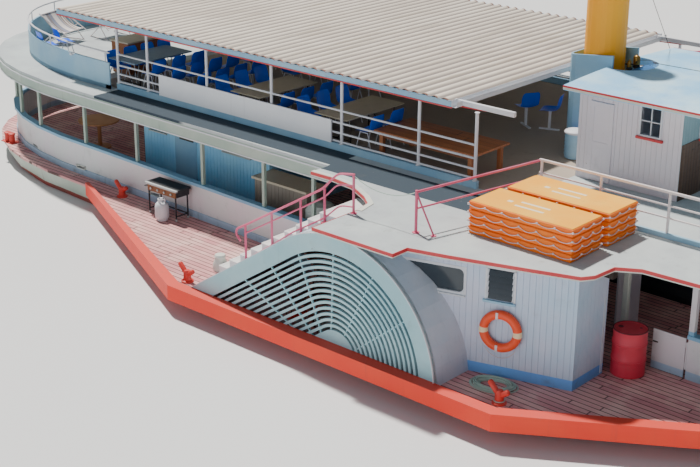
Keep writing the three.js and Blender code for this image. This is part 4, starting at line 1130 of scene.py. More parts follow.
CABIN_AFT, CABIN_FORE, CABIN_HALF = -9.8, -5.6, 3.2
cabin_corners = [(CABIN_AFT, -CABIN_HALF), (CABIN_FORE, -CABIN_HALF), (CABIN_FORE, CABIN_HALF),
                 (CABIN_AFT, CABIN_HALF)]
grooved("cabin", cabin_blue, around(cabin_corners, 0.56, 2.6))
ROOM_WALL = ((0.95, 6.657), (3.99, 5.73), (3.99, 4.80))
for s, side in SIDES:
    corners = [(x, s * y) for x, y in ROOM_WALL]
    grooved(f"deckhouse_{side}", wall_blue, around(corners, 0.70, 2.62, closed=False))
counter_front = paint("counter_boards", 0x93887C, 0xA0968A, dirt=0.25, chips=0.1, under=WORN_WOOD,
                      bands=((1.549, 1.7, 0xD2C7AE),))
grooved("serving_counter", counter_front,
        around([(-5.55, -3.7), (-4.0, -3.7), (-4.0, -3.14), (-5.55, -3.14)], 0.52, 1.53))
print("boarded walls:", [n for n in PIECES if n.endswith("_boards")])

# %% [markdown]
# ## Stairs
#
# The stair climbs the aft slope of the paddle box, so each step is a wedge that sits on the slope.
# Pink tube rails stand along its outer edge. Their top rail curls down at the foot and bends up
# to the deck rail at the head. What the boat has on both sides is made once and mirrored.

# %% Both sides
MIRROR = Matrix.Scale(-1, 4, (0, 1, 0))


def both_sides(name, make, finish, stands_for=None, **settings):
    """One piece for each side, made to starboard by the same function."""
    for side in ("starboard", "port"):
        shape = Shape()
        make(shape)
        if side == "port":
            bmesh.ops.transform(shape.mesh, matrix=MIRROR, verts=shape.mesh.verts)
        shape.piece(f"{name}_{side}", finish,
                    stands_for=f"{stands_for}_{side}" if stands_for else (), **settings)


# %% Stair steps
STAIR_FOOT, STEP_RUN, STEP_RISE, STEPS = -3.998, 0.30447, 0.2, 10
worn_white = paint("worn_white_paint", 0xD9DADB, 0xE4E2DF, dirt=0.4, chips=0.6,
                   under=linear(0x7A7C84))


def stair_steps(shape):
    teeth = [(STAIR_FOOT, ON_MAIN)]
    for step in range(STEPS):
        x, z = STAIR_FOOT + step * STEP_RUN, ON_MAIN + (step + 1) * STEP_RISE
        teeth += [(x, z), (x + STEP_RUN, z)]
        shape.block((x - 0.018, -6.235, z - 0.03), (x + 0.05, -5.165, z + 0.004))
    end_x, end_z = teeth[-1]
    shape.plate(teeth + [(end_x + 0.12, end_z), (STAIR_FOOT + 0.12, ON_MAIN)], -6.24, -5.16, "y")


both_sides("stair_steps", stair_steps, worn_white, "stair", bevel=0.005)
print("steps on each stair:", STEPS)

# %% Stair rails
STAIR_RAIL_Y = -6.26


def on_box(x):
    """The height of the paddle box top at x, aft of its crown."""
    slope = ON_MAIN + (x + 3.928) * math.tan(BOX_SLOPE)
    return slope if x < -1.23 else BOX_CENTRE + math.sqrt(BOX_RADIUS ** 2 - x ** 2)


def stair_rails(shape):
    def tube(points, radius, bend=0.12):
        shape.tube(rounded([(x, STAIR_RAIL_Y, z) for x, z in points], bend), radius, 10)

    tube([(-3.34, 1.40), (-3.46, 1.50), (-3.45, 1.63), (-3.2, 1.77), (-1.16, 2.99), (-0.80, 3.36),
          (-0.42, 3.43)], 0.021)
    tube([(-3.2, 1.60), (-1.12, 2.84), (-0.80, 3.16), (-0.42, 3.22)], 0.016)
    tube([(-3.19, 1.06), (-2.48, 1.55), (-1.95, 1.94), (-1.12, 2.44), (-0.75, 2.77), (-0.42, 2.82)],
         0.015)
    for x, top in ((-3.2, 1.76), (-2.48, 2.19), (-1.72, 2.65), (-1.12, 3.02)):
        foot = on_box(x)
        shape.tube([(x, STAIR_RAIL_Y, foot), (x, STAIR_RAIL_Y, top)], 0.023, 10)
        shape.turned([(0.07, foot - 0.02), (0.07, foot + 0.012)], (x, STAIR_RAIL_Y, 0), 12)
    shape.tube([(-0.42, STAIR_RAIL_Y, UPPER_DECK), (-0.42, STAIR_RAIL_Y, 3.44)], 0.024, 10)
    shape.turned([(0.06, ON_UPPER), (0.06, 2.715)], (-0.42, STAIR_RAIL_Y, 0), 12)


both_sides("stair_rails", stair_rails, pink)
print("stair rails at", STAIR_RAIL_Y)

# %% [markdown]
# ## Rails of the fore deck and of the stern
#
# Forward of the roof a white rail runs along both edges of the fore deck and round its end. It
# stands on a low blue kerb, and pink cross rails join it to the posts beside the paddle boxes.
# The stern has a solid panel with a tube above it.

# %% Fore rails
kerb_line = round_end(6.0, 8.45, 3.55) + [(1.65, 3.55)]
kerb_line = other_side(kerb_line)[:0:-1] + kerb_line
rail_white = paint("rail_white_paint", 0xE6DCDA, 0xD9D3D6, dirt=0.2, chips=0.25,
                   under=linear(0xB08A7C))
bars = Shape()
for z, half in ((3.52, 0.022), (3.28, 0.014), (3.06, 0.014)):
    bars.strip(shifted(kerb_line, half), shifted(kerb_line, -half), z - half, z + half)
for x in (1.70, 2.95, 4.30, 5.65, 7.0, 8.1):
    y = 3.55 if x <= 6 else 3.55 * (1 - ((x - 6) / 2.45) ** 2.6) ** (1 / 2.6)
    for s in (1, -1):
        bars.block((x - 0.02, s * y - 0.02, 2.79), (x + 0.02, s * y + 0.02, 3.51))
bars.piece("fore_rail_bars", rail_white, stands_for="fore_rail", bevel=0.004)
kerb = Shape()
kerb.strip(shifted(kerb_line, 0.03), shifted(kerb_line, -0.03), ON_UPPER, 2.79)
kerb.piece("fore_rail_kerb", blue_grey, bevel=0.006)


def cross_rails(shape):
    post, end = Vector((1.0, -6.25, 0)), Vector((1.65, -3.55, 0))
    shape.tube([post + Vector((0, 0, ON_UPPER)), post + Vector((0, 0, 3.47))], 0.026, 12)
    shape.turned([(0.065, ON_UPPER), (0.065, 2.714)], post, 12)
    for low, high, radius in ((3.44, 3.50, 0.022), (3.14, 3.18, 0.017)):
        shape.tube([post + Vector((0, 0, low)), end + Vector((0, 0, high))], radius, 10)
    shape.tube([(1.0, -6.25, 3.42), (1.33, -6.18, 2.72)], 0.016, 8)
    shape.turned([(0.05, ON_UPPER), (0.05, 2.714)], (1.33, -6.18, 0), 12)


both_sides("cross_rails", cross_rails, pink)
print("fore rail:", round(length_of([(x, y, 0) for x, y in kerb_line]), 1), "m round the fore deck")

# %% Stern panel
stern_line = round_end(-10.3, -15.9, 3.85, 2.5) + [(-10.15, 3.85)]
stern_line = other_side(stern_line)[:0:-1] + stern_line
panel = Shape()
panel.strip(stern_line, shifted(stern_line, -0.032), ON_UPPER, 3.31)
panel.strip(stern_line, shifted(stern_line, -0.05), 3.31, 3.33)
panel.strip(stern_line, shifted(stern_line, -0.042), ON_UPPER, 2.80)
panel.piece("stern_panel_boards", blue_grey, stands_for="stern_panel")
tube = Shape()
tube.tube([(x, y, 3.563) for x, y in shifted(stern_line, -0.0225)], 0.0215, 10)
for x, y in shifted(stern_line, -0.0225)[1::3]:
    tube.tube([(x, y, 3.30), (x, y, 3.56)], 0.016, 8)
tube.piece("stern_tube_rail", white)
print("stern panel:", round(length_of([(x, y, 0) for x, y in stern_line]), 1), "m long")

# %% [markdown]
# ## Rafts
#
# Each raft stack is four orange slabs with rounded rims, strapped together. White grab lines hang
# in even swags round every slab, held by small eyelets. The eyelets repeat, so a recipe puts one
# stud on every point of a mesh of points.

# %% Studs recipe
studs = Recipe("studs", Radius=0.01, Depth=0.02, Sides=8)
stud = studs.node("GeometryNodeMeshCylinder", {}, {
    "Vertices": studs.entry["Sides"], "Radius": studs.entry["Radius"],
    "Depth": studs.entry["Depth"]})
stud_places = studs.node("GeometryNodeMeshToPoints", {}, {"Mesh": studs.entry["Geometry"]})
studs.finish_with(studs.node("GeometryNodeInstanceOnPoints", {}, {
    "Points": stud_places, "Instance": stud}), white)


def stud_mesh(points, radius, depth):
    base = bpy.data.meshes.new("stud_places")
    base.from_pydata([tuple(p) for p in points], [], [])
    return grow(studs, base, Radius=radius, Depth=depth)


# %% Raft stacks
LAYER, LAYERS, SLAB = 0.148, 4, 0.14
RAFT_LONG, RAFT_WIDE = 2.1, 0.9
RAFT_TOP = ON_UPPER + (LAYERS - 1) * LAYER + SLAB
grab_white = paint("grab_line_white", 0xE3D8D8, 0xCFC4C6, dirt=0.3, chips=0.0, roughness=0.9)
float_top = paint("float_top_yellow", 0xFFB010, 0xFFC040, dirt=0.1, chips=0.05,
                  under=linear(0xD9902A))
label_white = paint("label_white", 0xF4E9C8, 0xEFE2C0, dirt=0.15, chips=0.1)


def slab_edge(x, y, reach=0.0):
    """The four corners of a slab, grown by a reach."""
    far_x, far_y = x + RAFT_LONG + reach, y + RAFT_WIDE + reach
    return [(x - reach, y - reach), (far_x, y - reach), (far_x, far_y), (x - reach, far_y)]


def swags(corners, z, sag):
    """A line that hangs in equal bows between eyelets, and the eyelets."""
    line, eyelets = [], []
    for start, end in zip(corners, corners[1:] + corners[:1]):
        start, end = Vector((*start, z)), Vector((*end, z))
        bows = round((end - start).length / 0.33)
        for k in range(bows):
            eyelets.append(start.lerp(end, k / bows))
            for step in range(7):
                place = start.lerp(end, (k + step / 7) / bows)
                line.append(place - Vector((0, 0, 4 * sag * step / 7 * (1 - step / 7))))
    return line, eyelets


for stack, (x, y) in (("outer", (1.65, -5.64)), ("inner", (1.70, -4.61))):
    slabs, lines, eyelets = Shape(), Shape(), []
    for k in range(LAYERS):
        z = ON_UPPER + k * LAYER
        slabs.block((x + 0.012, y + 0.012, z),
                    (x + RAFT_LONG - 0.012, y + RAFT_WIDE - 0.012, z + SLAB))
        slabs.strip(slab_edge(x, y) + [(x, y)], slab_edge(x, y, -0.03) + [(x + 0.03, y + 0.03)],
                    z + 0.095, z + 0.132)
        line, places = swags(slab_edge(x, y, 0.004), z + 0.085, 0.035 + 0.012 * ((k * 7) % 3))
        lines.tube(line, 0.0075, 6, closed=True)
        eyelets += places
    slabs.piece(f"raft_slabs_{stack}", float_orange, stands_for=f"float_stack_{stack}",
                bevel=0.012, segments=2)
    lines.join(stud_mesh(eyelets, 0.016, 0.03))
    lines.piece(f"raft_grab_lines_{stack}", grab_white)
    cover = Shape()
    cover.block((x + 0.02, y + 0.02, RAFT_TOP),
                (x + RAFT_LONG - 0.02, y + RAFT_WIDE - 0.02, RAFT_TOP + 0.0057))
    cover.piece(f"raft_cover_{stack}", float_top, bevel=0.002)
    labels = Shape()
    for low, high in (((0.72, 0.30), (1.30, 0.36)), ((0.72, 0.50), (1.30, 0.56)),
                      ((0.50, 0.40), (0.60, 0.48))):
        labels.block((x + low[0], y + low[1], RAFT_TOP + 0.0052),
                     (x + high[0], y + high[1], RAFT_TOP + 0.0072))
    labels.piece(f"raft_labels_{stack}", label_white)
print("raft slabs:", 2 * LAYERS)

# %% [markdown]
# ## Outer wall of the deckhouse
#
# The wall that shows stands at an angle to the boat, so its fittings are made in the wall's own
# measure, along it, out of it and up, and are then turned into place.

# %% Fittings on the wall
(WALL_X, WALL_Y), (WALL_END_X, WALL_END_Y) = ROOM_WALL[:2]
ROOM_ANGLE = math.atan2(WALL_Y - WALL_END_Y, WALL_END_X - WALL_X)
ON_WALL = Matrix.Translation((WALL_X, -WALL_Y, 0)) @ Matrix.Rotation(ROOM_ANGLE, 4, "Z")
glass = paint("dark_glass", 0x2C343C, 0x3A444C, dirt=0.2, chips=0.0, streaks=0.2, roughness=0.12)


def along_wall(x):
    return (x - WALL_X) / math.cos(ROOM_ANGLE)


def on_wall(make):
    """Turns what a function makes along the wall into its place."""
    def turned_in(shape):
        make(shape)
        bmesh.ops.transform(shape.mesh, matrix=ON_WALL, verts=shape.mesh.verts)
    return turned_in


def soft_corners(low, high, radius):
    """A rectangle with round corners, as (along, height)."""
    points, steps = [], 5
    corners = [((high[0] - radius, high[1] - radius), 0), ((low[0] + radius, high[1] - radius), 1),
               ((low[0] + radius, low[1] + radius), 2), ((high[0] - radius, low[1] + radius), 3)]
    for (cx, cz), quarter in corners:
        for k in range(steps + 1):
            t = math.pi / 2 * (quarter + k / steps)
            points.append((cx + radius * math.cos(t), cz + radius * math.sin(t)))
    return points


VIEW_LOW, VIEW_HIGH = (along_wall(1.05), 1.90), (along_wall(2.12), 2.36)
LOUVRE_LOW, LOUVRE_HIGH = (along_wall(2.50), 1.90), (along_wall(2.95), 2.45)
SLATS, SLAT_TILT = 5, Matrix.Rotation(math.radians(-28), 4, "X")


def on_slat(k, x, y):
    """The place and the tilt of one of the louvre's slats."""
    return Matrix.Translation((x, y, LOUVRE_LOW[1] + 0.06 + k * 0.105)) @ SLAT_TILT


@on_wall
def view_frame(shape):
    inner = soft_corners((VIEW_LOW[0] + 0.02, VIEW_LOW[1] + 0.02),
                         (VIEW_HIGH[0] - 0.02, VIEW_HIGH[1] - 0.02), 0.09)
    outer = soft_corners((VIEW_LOW[0] - 0.03, VIEW_LOW[1] - 0.03),
                         (VIEW_HIGH[0] + 0.03, VIEW_HIGH[1] + 0.03), 0.02)
    shape.strip(inner + inner[:1], outer + outer[:1], -0.006, 0.045, "y")
    shape.block((VIEW_LOW[0] - 0.04, -0.035, VIEW_LOW[1] - 0.055),
                (VIEW_HIGH[0] + 0.02, 0.0, VIEW_LOW[1] - 0.025))


@on_wall
def wall_panes(shape):
    shape.block((VIEW_LOW[0] - 0.01, 0.03, VIEW_LOW[1] - 0.01),
                (VIEW_HIGH[0] + 0.01, 0.038, VIEW_HIGH[1] + 0.01))
    shape.block((LOUVRE_LOW[0], 0.048, LOUVRE_LOW[1]), (LOUVRE_HIGH[0], 0.056, LOUVRE_HIGH[1]))
    for k in range(SLATS):
        shape.block((LOUVRE_LOW[0] + 0.02, -0.004, -0.055), (LOUVRE_HIGH[0] - 0.02, 0.004, 0.055),
                    on_slat(k, 0, 0.01))


@on_wall
def louvre_frame(shape):
    low, high = LOUVRE_LOW, LOUVRE_HIGH
    for s, edge in ((-1, low[0]), (1, high[0])):
        shape.block((min(edge, edge + s * 0.035), -0.012, low[1] - 0.03),
                    (max(edge, edge + s * 0.035), 0.02, high[1] + 0.03))
        for k in range(SLATS):
            shape.block((-0.012, -0.012, -0.05), (0.012, 0.012, 0.05),
                        on_slat(k, edge - s * 0.012, 0))
    shape.block((low[0] - 0.035, -0.012, high[1]), (high[0] + 0.035, 0.02, high[1] + 0.035))
    shape.block((low[0] - 0.12, -0.022, high[1] + 0.07), (high[0] + 0.12, 0.0, high[1] + 0.085))


@on_wall
def louvre_sill(shape):
    shape.block((LOUVRE_LOW[0] - 0.06, -0.05, LOUVRE_LOW[1] - 0.055),
                (LOUVRE_HIGH[0] + 0.04, 0.0, LOUVRE_LOW[1] - 0.01))


both_sides("deckhouse_view_frame", view_frame, white, bevel=0.004)
both_sides("deckhouse_panes", wall_panes, glass)
both_sides("louvre_frame", louvre_frame, white, bevel=0.002)
both_sides("louvre_sill", louvre_sill, blue_grey, bevel=0.006)
print("wall turned", round(math.degrees(ROOM_ANGLE), 1), "degrees")

# %% [markdown]
# ## Lifebuoy
#
# A lifebuoy is a torus with light bands, hung on clips, with a line looped under it. Everything on
# it is an arc about its centre, so one function gives the points of any arc.

# %% Lifebuoy
BUOY = Vector((along_wall(2.78), -0.0783, 1.38))
buoy_cream = paint("lifebuoy_band", 0xF0D9B0, 0xE6CFA6, dirt=0.2, chips=0.05)


def buoy_arc(first, last, steps, reach=0.30, drop=0.0):
    turns = [math.radians(first + (last - first) * k / steps) for k in range(steps + 1)]
    return [BUOY + Vector((reach * math.cos(t), 0, reach * math.sin(t) - drop)) for t in turns]


@on_wall
def buoy_ring(shape):
    shape.tube(buoy_arc(0, 360, 56)[:-1], 0.077, 20, closed=True)


@on_wall
def buoy_bands(shape):
    for middle in (0, 180):
        shape.tube(buoy_arc(middle - 9, middle + 9, 6), 0.0783, 20)


@on_wall
def buoy_fittings(shape):
    shape.tube(buoy_arc(205, 335, 24, 0.30, 0.19), 0.006, 6)
    for turn in (100, 262):
        at = buoy_arc(turn, turn, 1)[0]
        shape.block(at + Vector((-0.022, -0.0783, -0.06)), at + Vector((0.022, -0.06, 0.06)))


for make, name, finish, settings in (
        (buoy_ring, "lifebuoy_ring", buoy_orange, dict(stands_for="lifebuoy", smooth=60)),
        (buoy_bands, "lifebuoy_bands", buoy_cream, dict(smooth=60)),
        (buoy_fittings, "lifebuoy_fittings", grab_white, dict(bevel=0.003))):
    shape = Shape()
    make(shape)
    shape.piece(name, finish, **settings)
print("lifebuoy at", [round(v, 2) for v in ON_WALL @ BUOY])

# %% [markdown]
# ## Wheelhouse
#
# The wheelhouse is boarded like the cabins. It gets window frames with glazing bars, a panelled
# door that rides on its own body, varnished boards on its front, and a moulding round the roof.

# %% Windows and doors
def slab(shape, axis, near, far, low, high):
    """A block whose thickness lies along x or y and whose face is (across, up)."""
    a, b = sorted((near, far))
    if axis == "y":
        shape.block((low[0], a, low[1]), (high[0], b, high[1]))
    else:
        shape.block((a, low[0], low[1]), (b, high[0], high[1]))


def casement(shape, axis, near, far, low, high, columns=2, rows=2, bar=0.032):
    """A window frame round an opening, with glazing bars in it."""
    for edge in (low[0] - bar, high[0]):
        slab(shape, axis, near, far, (edge, low[1] - bar), (edge + bar, high[1] + bar))
    for edge in (low[1] - bar, high[1]):
        slab(shape, axis, near, far, (low[0], edge), (high[0], edge + bar))
    inset = (far - near) * 0.4
    for k in range(1, columns):
        x = low[0] + (high[0] - low[0]) * k / columns
        slab(shape, axis, near + inset, far, (x - 0.009, low[1]), (x + 0.009, high[1]))
    for k in range(1, rows):
        z = low[1] + (high[1] - low[1]) * k / rows
        slab(shape, axis, near + inset, far, (low[0], z - 0.009), (high[0], z + 0.009))


def panelled_door(node, name, finish, body, rails, stile=0.085):
    """A door with proud stiles and rails on its outer face, which looks to starboard."""
    low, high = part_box(node)
    door = Shape()
    door.block((low.x, low.y + 0.009, low.z), (high.x, high.y, high.z))
    for x in (low.x, high.x - stile):
        slab(door, "y", low.y, low.y + 0.012, (x, low.z), (x + stile, high.z))
    for z in rails:
        slab(door, "y", low.y, low.y + 0.012, (low.x + stile, low.z + z - 0.05),
             (high.x - stile, low.z + z + 0.05))
    door.turned([(0.022, -0.012), (0.022, 0.0), (0.008, 0.002), (0.008, 0.012)],
                (low.x + 0.05, low.y, low.z + 0.95), 12, "y")
    door.piece(name, finish, body, node, bevel=0.003)


# %% Wheelhouse walls
varnish = planking("varnished_boards", (0x5A4438, 0x6A5040, 0x4C3A32, 0x3A2A24),
                   lambda f: f.y, 0.11, lambda f: f.z, wear=0.3, roughness=0.45)
BRIDGE_CORNERS = [(1.31, -1.8), (3.5, -1.8), (3.5, 1.8), (1.31, 1.8)]
grooved("wheelhouse", lilac, around(BRIDGE_CORNERS, 2.74, 4.39))
front = Shape()
front.block((3.4995, -1.79, ON_UPPER), (3.514, 1.79, 3.765))
grooved("wheelhouse_front", varnish, [wall_row((3.514, -1.79), (3.514, 1.79), 2.72, 3.75)],
        front.to_mesh("front"))
frames = Shape()
for s in (1, -1):
    casement(frames, "y", s * 1.83, s * 1.77, (2.65, 3.82), (3.05, 4.34))
for y in (-1.15, -0.35, 0.45):
    casement(frames, "x", 3.53, 3.47, (y, 3.80), (y + 0.70, 4.30), 1, 1)
for y in (-1.5, 0.9):
    casement(frames, "x", 1.28, 1.34, (y, 3.64), (y + 0.60, 4.24))
frames.piece("wheelhouse_windows", white, bevel=0.003)
sills = Shape()
for s in (1, -1):
    slab(sills, "y", s * 1.80, s * 1.86, (2.57, 3.735), (3.13, 3.785))
slab(sills, "x", 3.50, 3.56, (-1.2, 3.722), (1.2, 3.768))
sills.piece("wheelhouse_sills", trim_red, bevel=0.008)
panelled_door("wheelhouse_door", "wheelhouse_door_panels", lilac, "bridge_door",
              (0.06, 0.72, 1.49))
print("wheelhouse corners:", BRIDGE_CORNERS)

# %% Wheelhouse roof
ROOF_EDGE = [(1.08, -2.05), (4.08, -2.05), (4.35, -1.6), (4.35, 1.6), (4.08, 2.05), (1.08, 2.05)]
edge = Shape()
edge.strip(ROOF_EDGE, shifted(ROOF_EDGE, -0.014), 4.468, 4.502)
edge.piece("wheelhouse_roof_red_edge", trim_red)
edge = Shape()
edge.strip(ROOF_EDGE, shifted(ROOF_EDGE, -0.009), 4.425, 4.468)
edge.piece("wheelhouse_roof_light_edge", cream)
deep_cover = paint("notch_cover_paint", 0x1F5C94, 0x2C6BA2, dirt=0.3, chips=0.15)
cover = Shape()
cover.plate([(1.31, 0.60)] + [(1.2 + 0.585 * math.cos(t), 0.03 + 0.585 * math.sin(t))
                              for t in (math.radians(a) for a in range(78, -79, -6))]
            + [(1.31, -0.54)], 4.4402, 4.448)
cover.piece("wheelhouse_notch_cover", deep_cover)
print("wheelhouse roof edge:", len(ROOF_EDGE), "corners")

# %% [markdown]
# ## Whistle, wires and lamps
#
# The whistles stand on bent pipes beside the funnel. A stay runs down from the funnel, and a
# cable lies along the wheelhouse roof. A flood light hangs at the corner of the deckhouse.

# %% Whistle
TALL, SHORT = (1.24, 0.30, 0), (1.23, 0.05, 0)
pipes, bells = Shape(), Shape()
pipes.tube([(1.24, 0.30, ON_UPPER), (1.24, 0.30, 4.46)], 0.04, 12)
pipes.tube(rounded([(1.24, 0.30, 4.30), (1.23, 0.05, 4.34), (1.23, 0.05, 4.50)], 0.08), 0.028, 10)
pipes.turned([(0.05, 4.42), (0.075, 4.44), (0.075, 4.47), (0.05, 4.49)], TALL, 14)
pipes.turned([(0.04, 4.42), (0.06, 4.44), (0.06, 4.46), (0.04, 4.48)], SHORT, 14)
pipes.tube([(1.13, 0.05, 4.53), (1.31, 0.05, 4.55)], 0.016, 8)
pipes.tube([(1.20, 0.30, 4.50), (1.30, 0.20, 4.58)], 0.012, 8)
for at, radius, low, high in ((TALL, 0.07, 4.50, 4.68), (SHORT, 0.045, 4.49, 4.62)):
    bells.turned([(radius, low), (radius, high - 0.05), (radius * 0.8, high - 0.02),
                  (0.012, high), (0.012, high + 0.02)], at, 16)
pipes.piece("whistle_pipes", black, stands_for="whistle", smooth=50)
bells.piece("whistle_bells", brass, smooth=50)
print("whistles: 2")

# %% Wires and flood light
wires = Shape()
wires.tube([(0.92, 0.35, 6.86), (1.13, 1.79, 4.535)], 0.006, 6)
wires.tube([(1.30, 0.25, 4.60), (1.50, 0.42, 4.60), (1.62, 0.38, 4.572)], 0.005, 6)
wires.tube([(1.60, 0.37, 4.571), (2.62, 0.40, 4.571), (4.34, 0.39, 4.571)], 0.006, 6)
wires.tube([(1.62 + 0.05 * math.cos(t), 0.38 + 0.05 * math.sin(t), 4.572)
            for t in (2 * math.pi * k / 16 for k in range(16))], 0.006, 6, closed=True)
wires.piece("stays_and_cable", dark_metal)


def flood_light(shape):
    low, high = Vector((4.03, -5.12, 2.40)), Vector((4.25, -4.98, 2.55))
    shape.block(low, high)
    for k in range(5):
        x = low.x + 0.02 + k * 0.045
        shape.block((x - 0.006, low.y - 0.012, low.z + 0.008), (x + 0.006, low.y, high.z - 0.008))
    shape.tube([(4.14, -5.03, 2.55), (4.14, -5.03, 2.62)], 0.012, 8)


def wall_cables(shape):
    for y in (4.87, 4.91):
        shape.tube(rounded([(4.0, -y, 1.95), (4.003, -y, 1.2), (4.02, -y - 0.02, 0.56)], 0.1),
                   0.006, 6)


both_sides("flood_light", flood_light, dark_metal, bevel=0.003)
both_sides("deckhouse_cables", wall_cables, white)
print("flood lights:", len(SIDES))

# %% [markdown]
# ## Gear on the main deck
#
# Drum, mooring posts, barbecue with its gas bottle, and small cast fittings are turned and bent
# forms. The posts are the same casting six times, so one loop makes them.

# %% Drum
drum = Shape()
profile = [(0.275, ON_MAIN), (0.295, 0.51), (0.295, 0.74)]
for height in (0.79, 1.09):
    profile += [(0.293, height - 0.03), (0.305, height - 0.015), (0.293, height),
                (0.305, height + 0.015), (0.293, height + 0.03)]
profile += [(0.293, 1.31), (0.300, 1.325), (0.300, 1.336), (0.286, 1.338), (0.283, 1.318)]
drum.turned(profile, (4.29, -4.48, 0), 32)
drum.turned([(0.045, 1.315), (0.045, 1.334)], (4.13, -4.53, 0), 12)
drum.turned([(0.025, 1.315), (0.025, 1.330)], (4.42, -4.36, 0), 12)
drum.piece("drum_with_ribs", drum_red, stands_for="oil_drum", smooth=50)
print("drum:", profile[-1][1] - profile[0][1], "m high")

# %% Mooring posts
for x, y, place in ((-9.05, 4.55, "aft"), (-4.22, 6.89, "mid"), (3.34, 6.88, "fore")):
    for s, side in SIDES:
        post = Shape()
        post.turned([(0.125, ON_MAIN), (0.125, 0.525), (0.085, 0.545), (0.075, 0.60), (0.075, 0.70),
                     (0.055, 0.74)], (x, s * y, 0), 20)
        for reach, rise in ((-0.20, 0.34), (0.17, 0.25)):
            line = [Vector((x + reach * t, s * y, 0.64 + (rise - 0.14) * t))
                    for t in (0.0, 0.94, 0.99, 1.06)]
            post.tube(line, [0.05, 0.05, 0.046, 0.03], 14)
        post.piece(f"mooring_post_{place}_{side}", red, stands_for=f"bollard_{place}_{side}",
                   smooth=50)
print("mooring posts:", 3 * len(SIDES))

# %% Barbecue
BBQ = Vector((-7.33, -4.64, ON_MAIN))
bronze = paint("bronze_panel", 0x7A4E30, 0x8C5E3C, dirt=0.5, chips=0.3, metallic=0.3,
               under=linear(0xC8B090))
steel_grey = paint("light_steel", 0xB9C0BF, 0xA8B0B0, dirt=0.3, chips=0.2, metallic=0.3)


def at_bbq(shape, low, high):
    """A block measured from the middle of the barbecue's foot."""
    shape.block(BBQ + Vector(low), BBQ + Vector(high))


grill, panel_front, bright = Shape(), Shape(), Shape()
for dx in (-0.44, 0.44):
    for dy in (-0.17, 0.17):
        at_bbq(grill, (dx - 0.015, dy - 0.015, 0.05), (dx + 0.015, dy + 0.015, 0.56))
        bright.turned([(0.03, -0.012), (0.03, 0.012)], BBQ + Vector((dx, dy, 0.03)), 12, "y")
    at_bbq(grill, (dx - 0.012, -0.17, 0.10), (dx + 0.012, 0.17, 0.125))
at_bbq(grill, (-0.44, 0.158, 0.10), (0.44, 0.182, 0.125))
at_bbq(grill, (-0.48, -0.17, 0.55), (0.48, 0.20, 0.69))
at_bbq(grill, (-0.52, -0.175, 0.69), (0.52, 0.22, 0.73))
at_bbq(grill, (-0.60, -0.18, 0.60), (-0.52, 0.18, 0.615))
at_bbq(panel_front, (-0.46, -0.195, 0.54), (0.46, -0.168, 0.68))
at_bbq(bright, (-0.52, -0.222, 0.688), (0.52, -0.17, 0.728))
for dx in (-0.33, -0.11, 0.11, 0.33):
    bright.turned([(0.026, -0.03), (0.026, -0.012), (0.018, 0.0)],
                  BBQ + Vector((dx, -0.194, 0.61)), 12, "y")
grill.piece("barbecue_body", black, stands_for="barbecue", bevel=0.004)
panel_front.piece("barbecue_panel", bronze, bevel=0.004)
bright.piece("barbecue_fittings", steel_grey, bevel=0.002)
print("barbecue at", [round(v, 2) for v in BBQ])

# %% Gas bottle and deck vent
GAS_AT, COLLAR = Vector((-7.22, -4.93, 0)), 0.078


def on_collar(degrees):
    t = math.radians(degrees)
    return GAS_AT + Vector((COLLAR * math.cos(t), COLLAR * math.sin(t), 0))


bottle = Shape()
bottle.turned([(0.12, ON_MAIN), (0.125, 0.53), (0.150, 0.56), (0.155, 0.60), (0.155, 0.80),
               (0.140, 0.87), (0.095, 0.915), (0.04, 0.93)], GAS_AT, 28)
bottle.turned([(0.022, 0.925), (0.022, 0.985), (0.034, 0.99), (0.034, 1.01)], GAS_AT, 14)
for turn in range(20, 380, 90):
    bottle.block(on_collar(turn) + Vector((-0.012, -0.012, 0.89)),
                 on_collar(turn) + Vector((0.012, 0.012, 0.985)))
bottle.tube([on_collar(turn) + Vector((0, 0, 0.985)) for turn in range(0, 360, 15)], 0.010, 8,
            closed=True)
bottle.piece("gas_bottle", white, smooth=50)
pot = Shape()
pot.turned([(0.15, ON_MAIN), (0.155, 0.53), (0.15, 0.64), (0.115, 0.72), (0.10, 0.76),
            (0.118, 0.79), (0.10, 0.83), (0.03, 0.84)], (-4.18, -6.04, 0), 24)
pot.piece("deck_vent", cream, smooth=50)
print("gas bottle at", [round(v, 2) for v in GAS_AT])


# %% Stern posts and gate latches
def stern_posts(shape):
    for x in (-14.56, -14.38):
        shape.turned([(0.075, ON_MAIN), (0.075, 0.70), (0.09, 0.71), (0.09, 0.74), (0.06, 0.755)],
                     (x, -3.78, 0), 18)
    shape.block((-14.70, -3.90, ON_MAIN), (-14.24, -3.66, 0.52))


def gate_latch(shape):
    shape.turned([(0.012, -0.02), (0.012, 0.0)], (4.55, -4.06, 1.02), 10, "y")
    shape.block((4.50, -4.075, 1.01), (4.60, -4.062, 1.03))


both_sides("stern_twin_posts", stern_posts, red, smooth=50)
for s, side in SIDES:
    latch = Shape()
    gate_latch(latch)
    if s == 1:
        bmesh.ops.transform(latch.mesh, matrix=MIRROR, verts=latch.mesh.verts)
    latch.piece(f"gate_latch_{side}_gate", dark_metal, f"{side}_gate")
print("gates with a latch: 2")

# %% [markdown]
# ## Inside the fore house
#
# Through the opening beside the drum one sees benches on the side, beams above, a post and a pale
# door panel. They are plain boards, so they are blocks with bevelled edges.

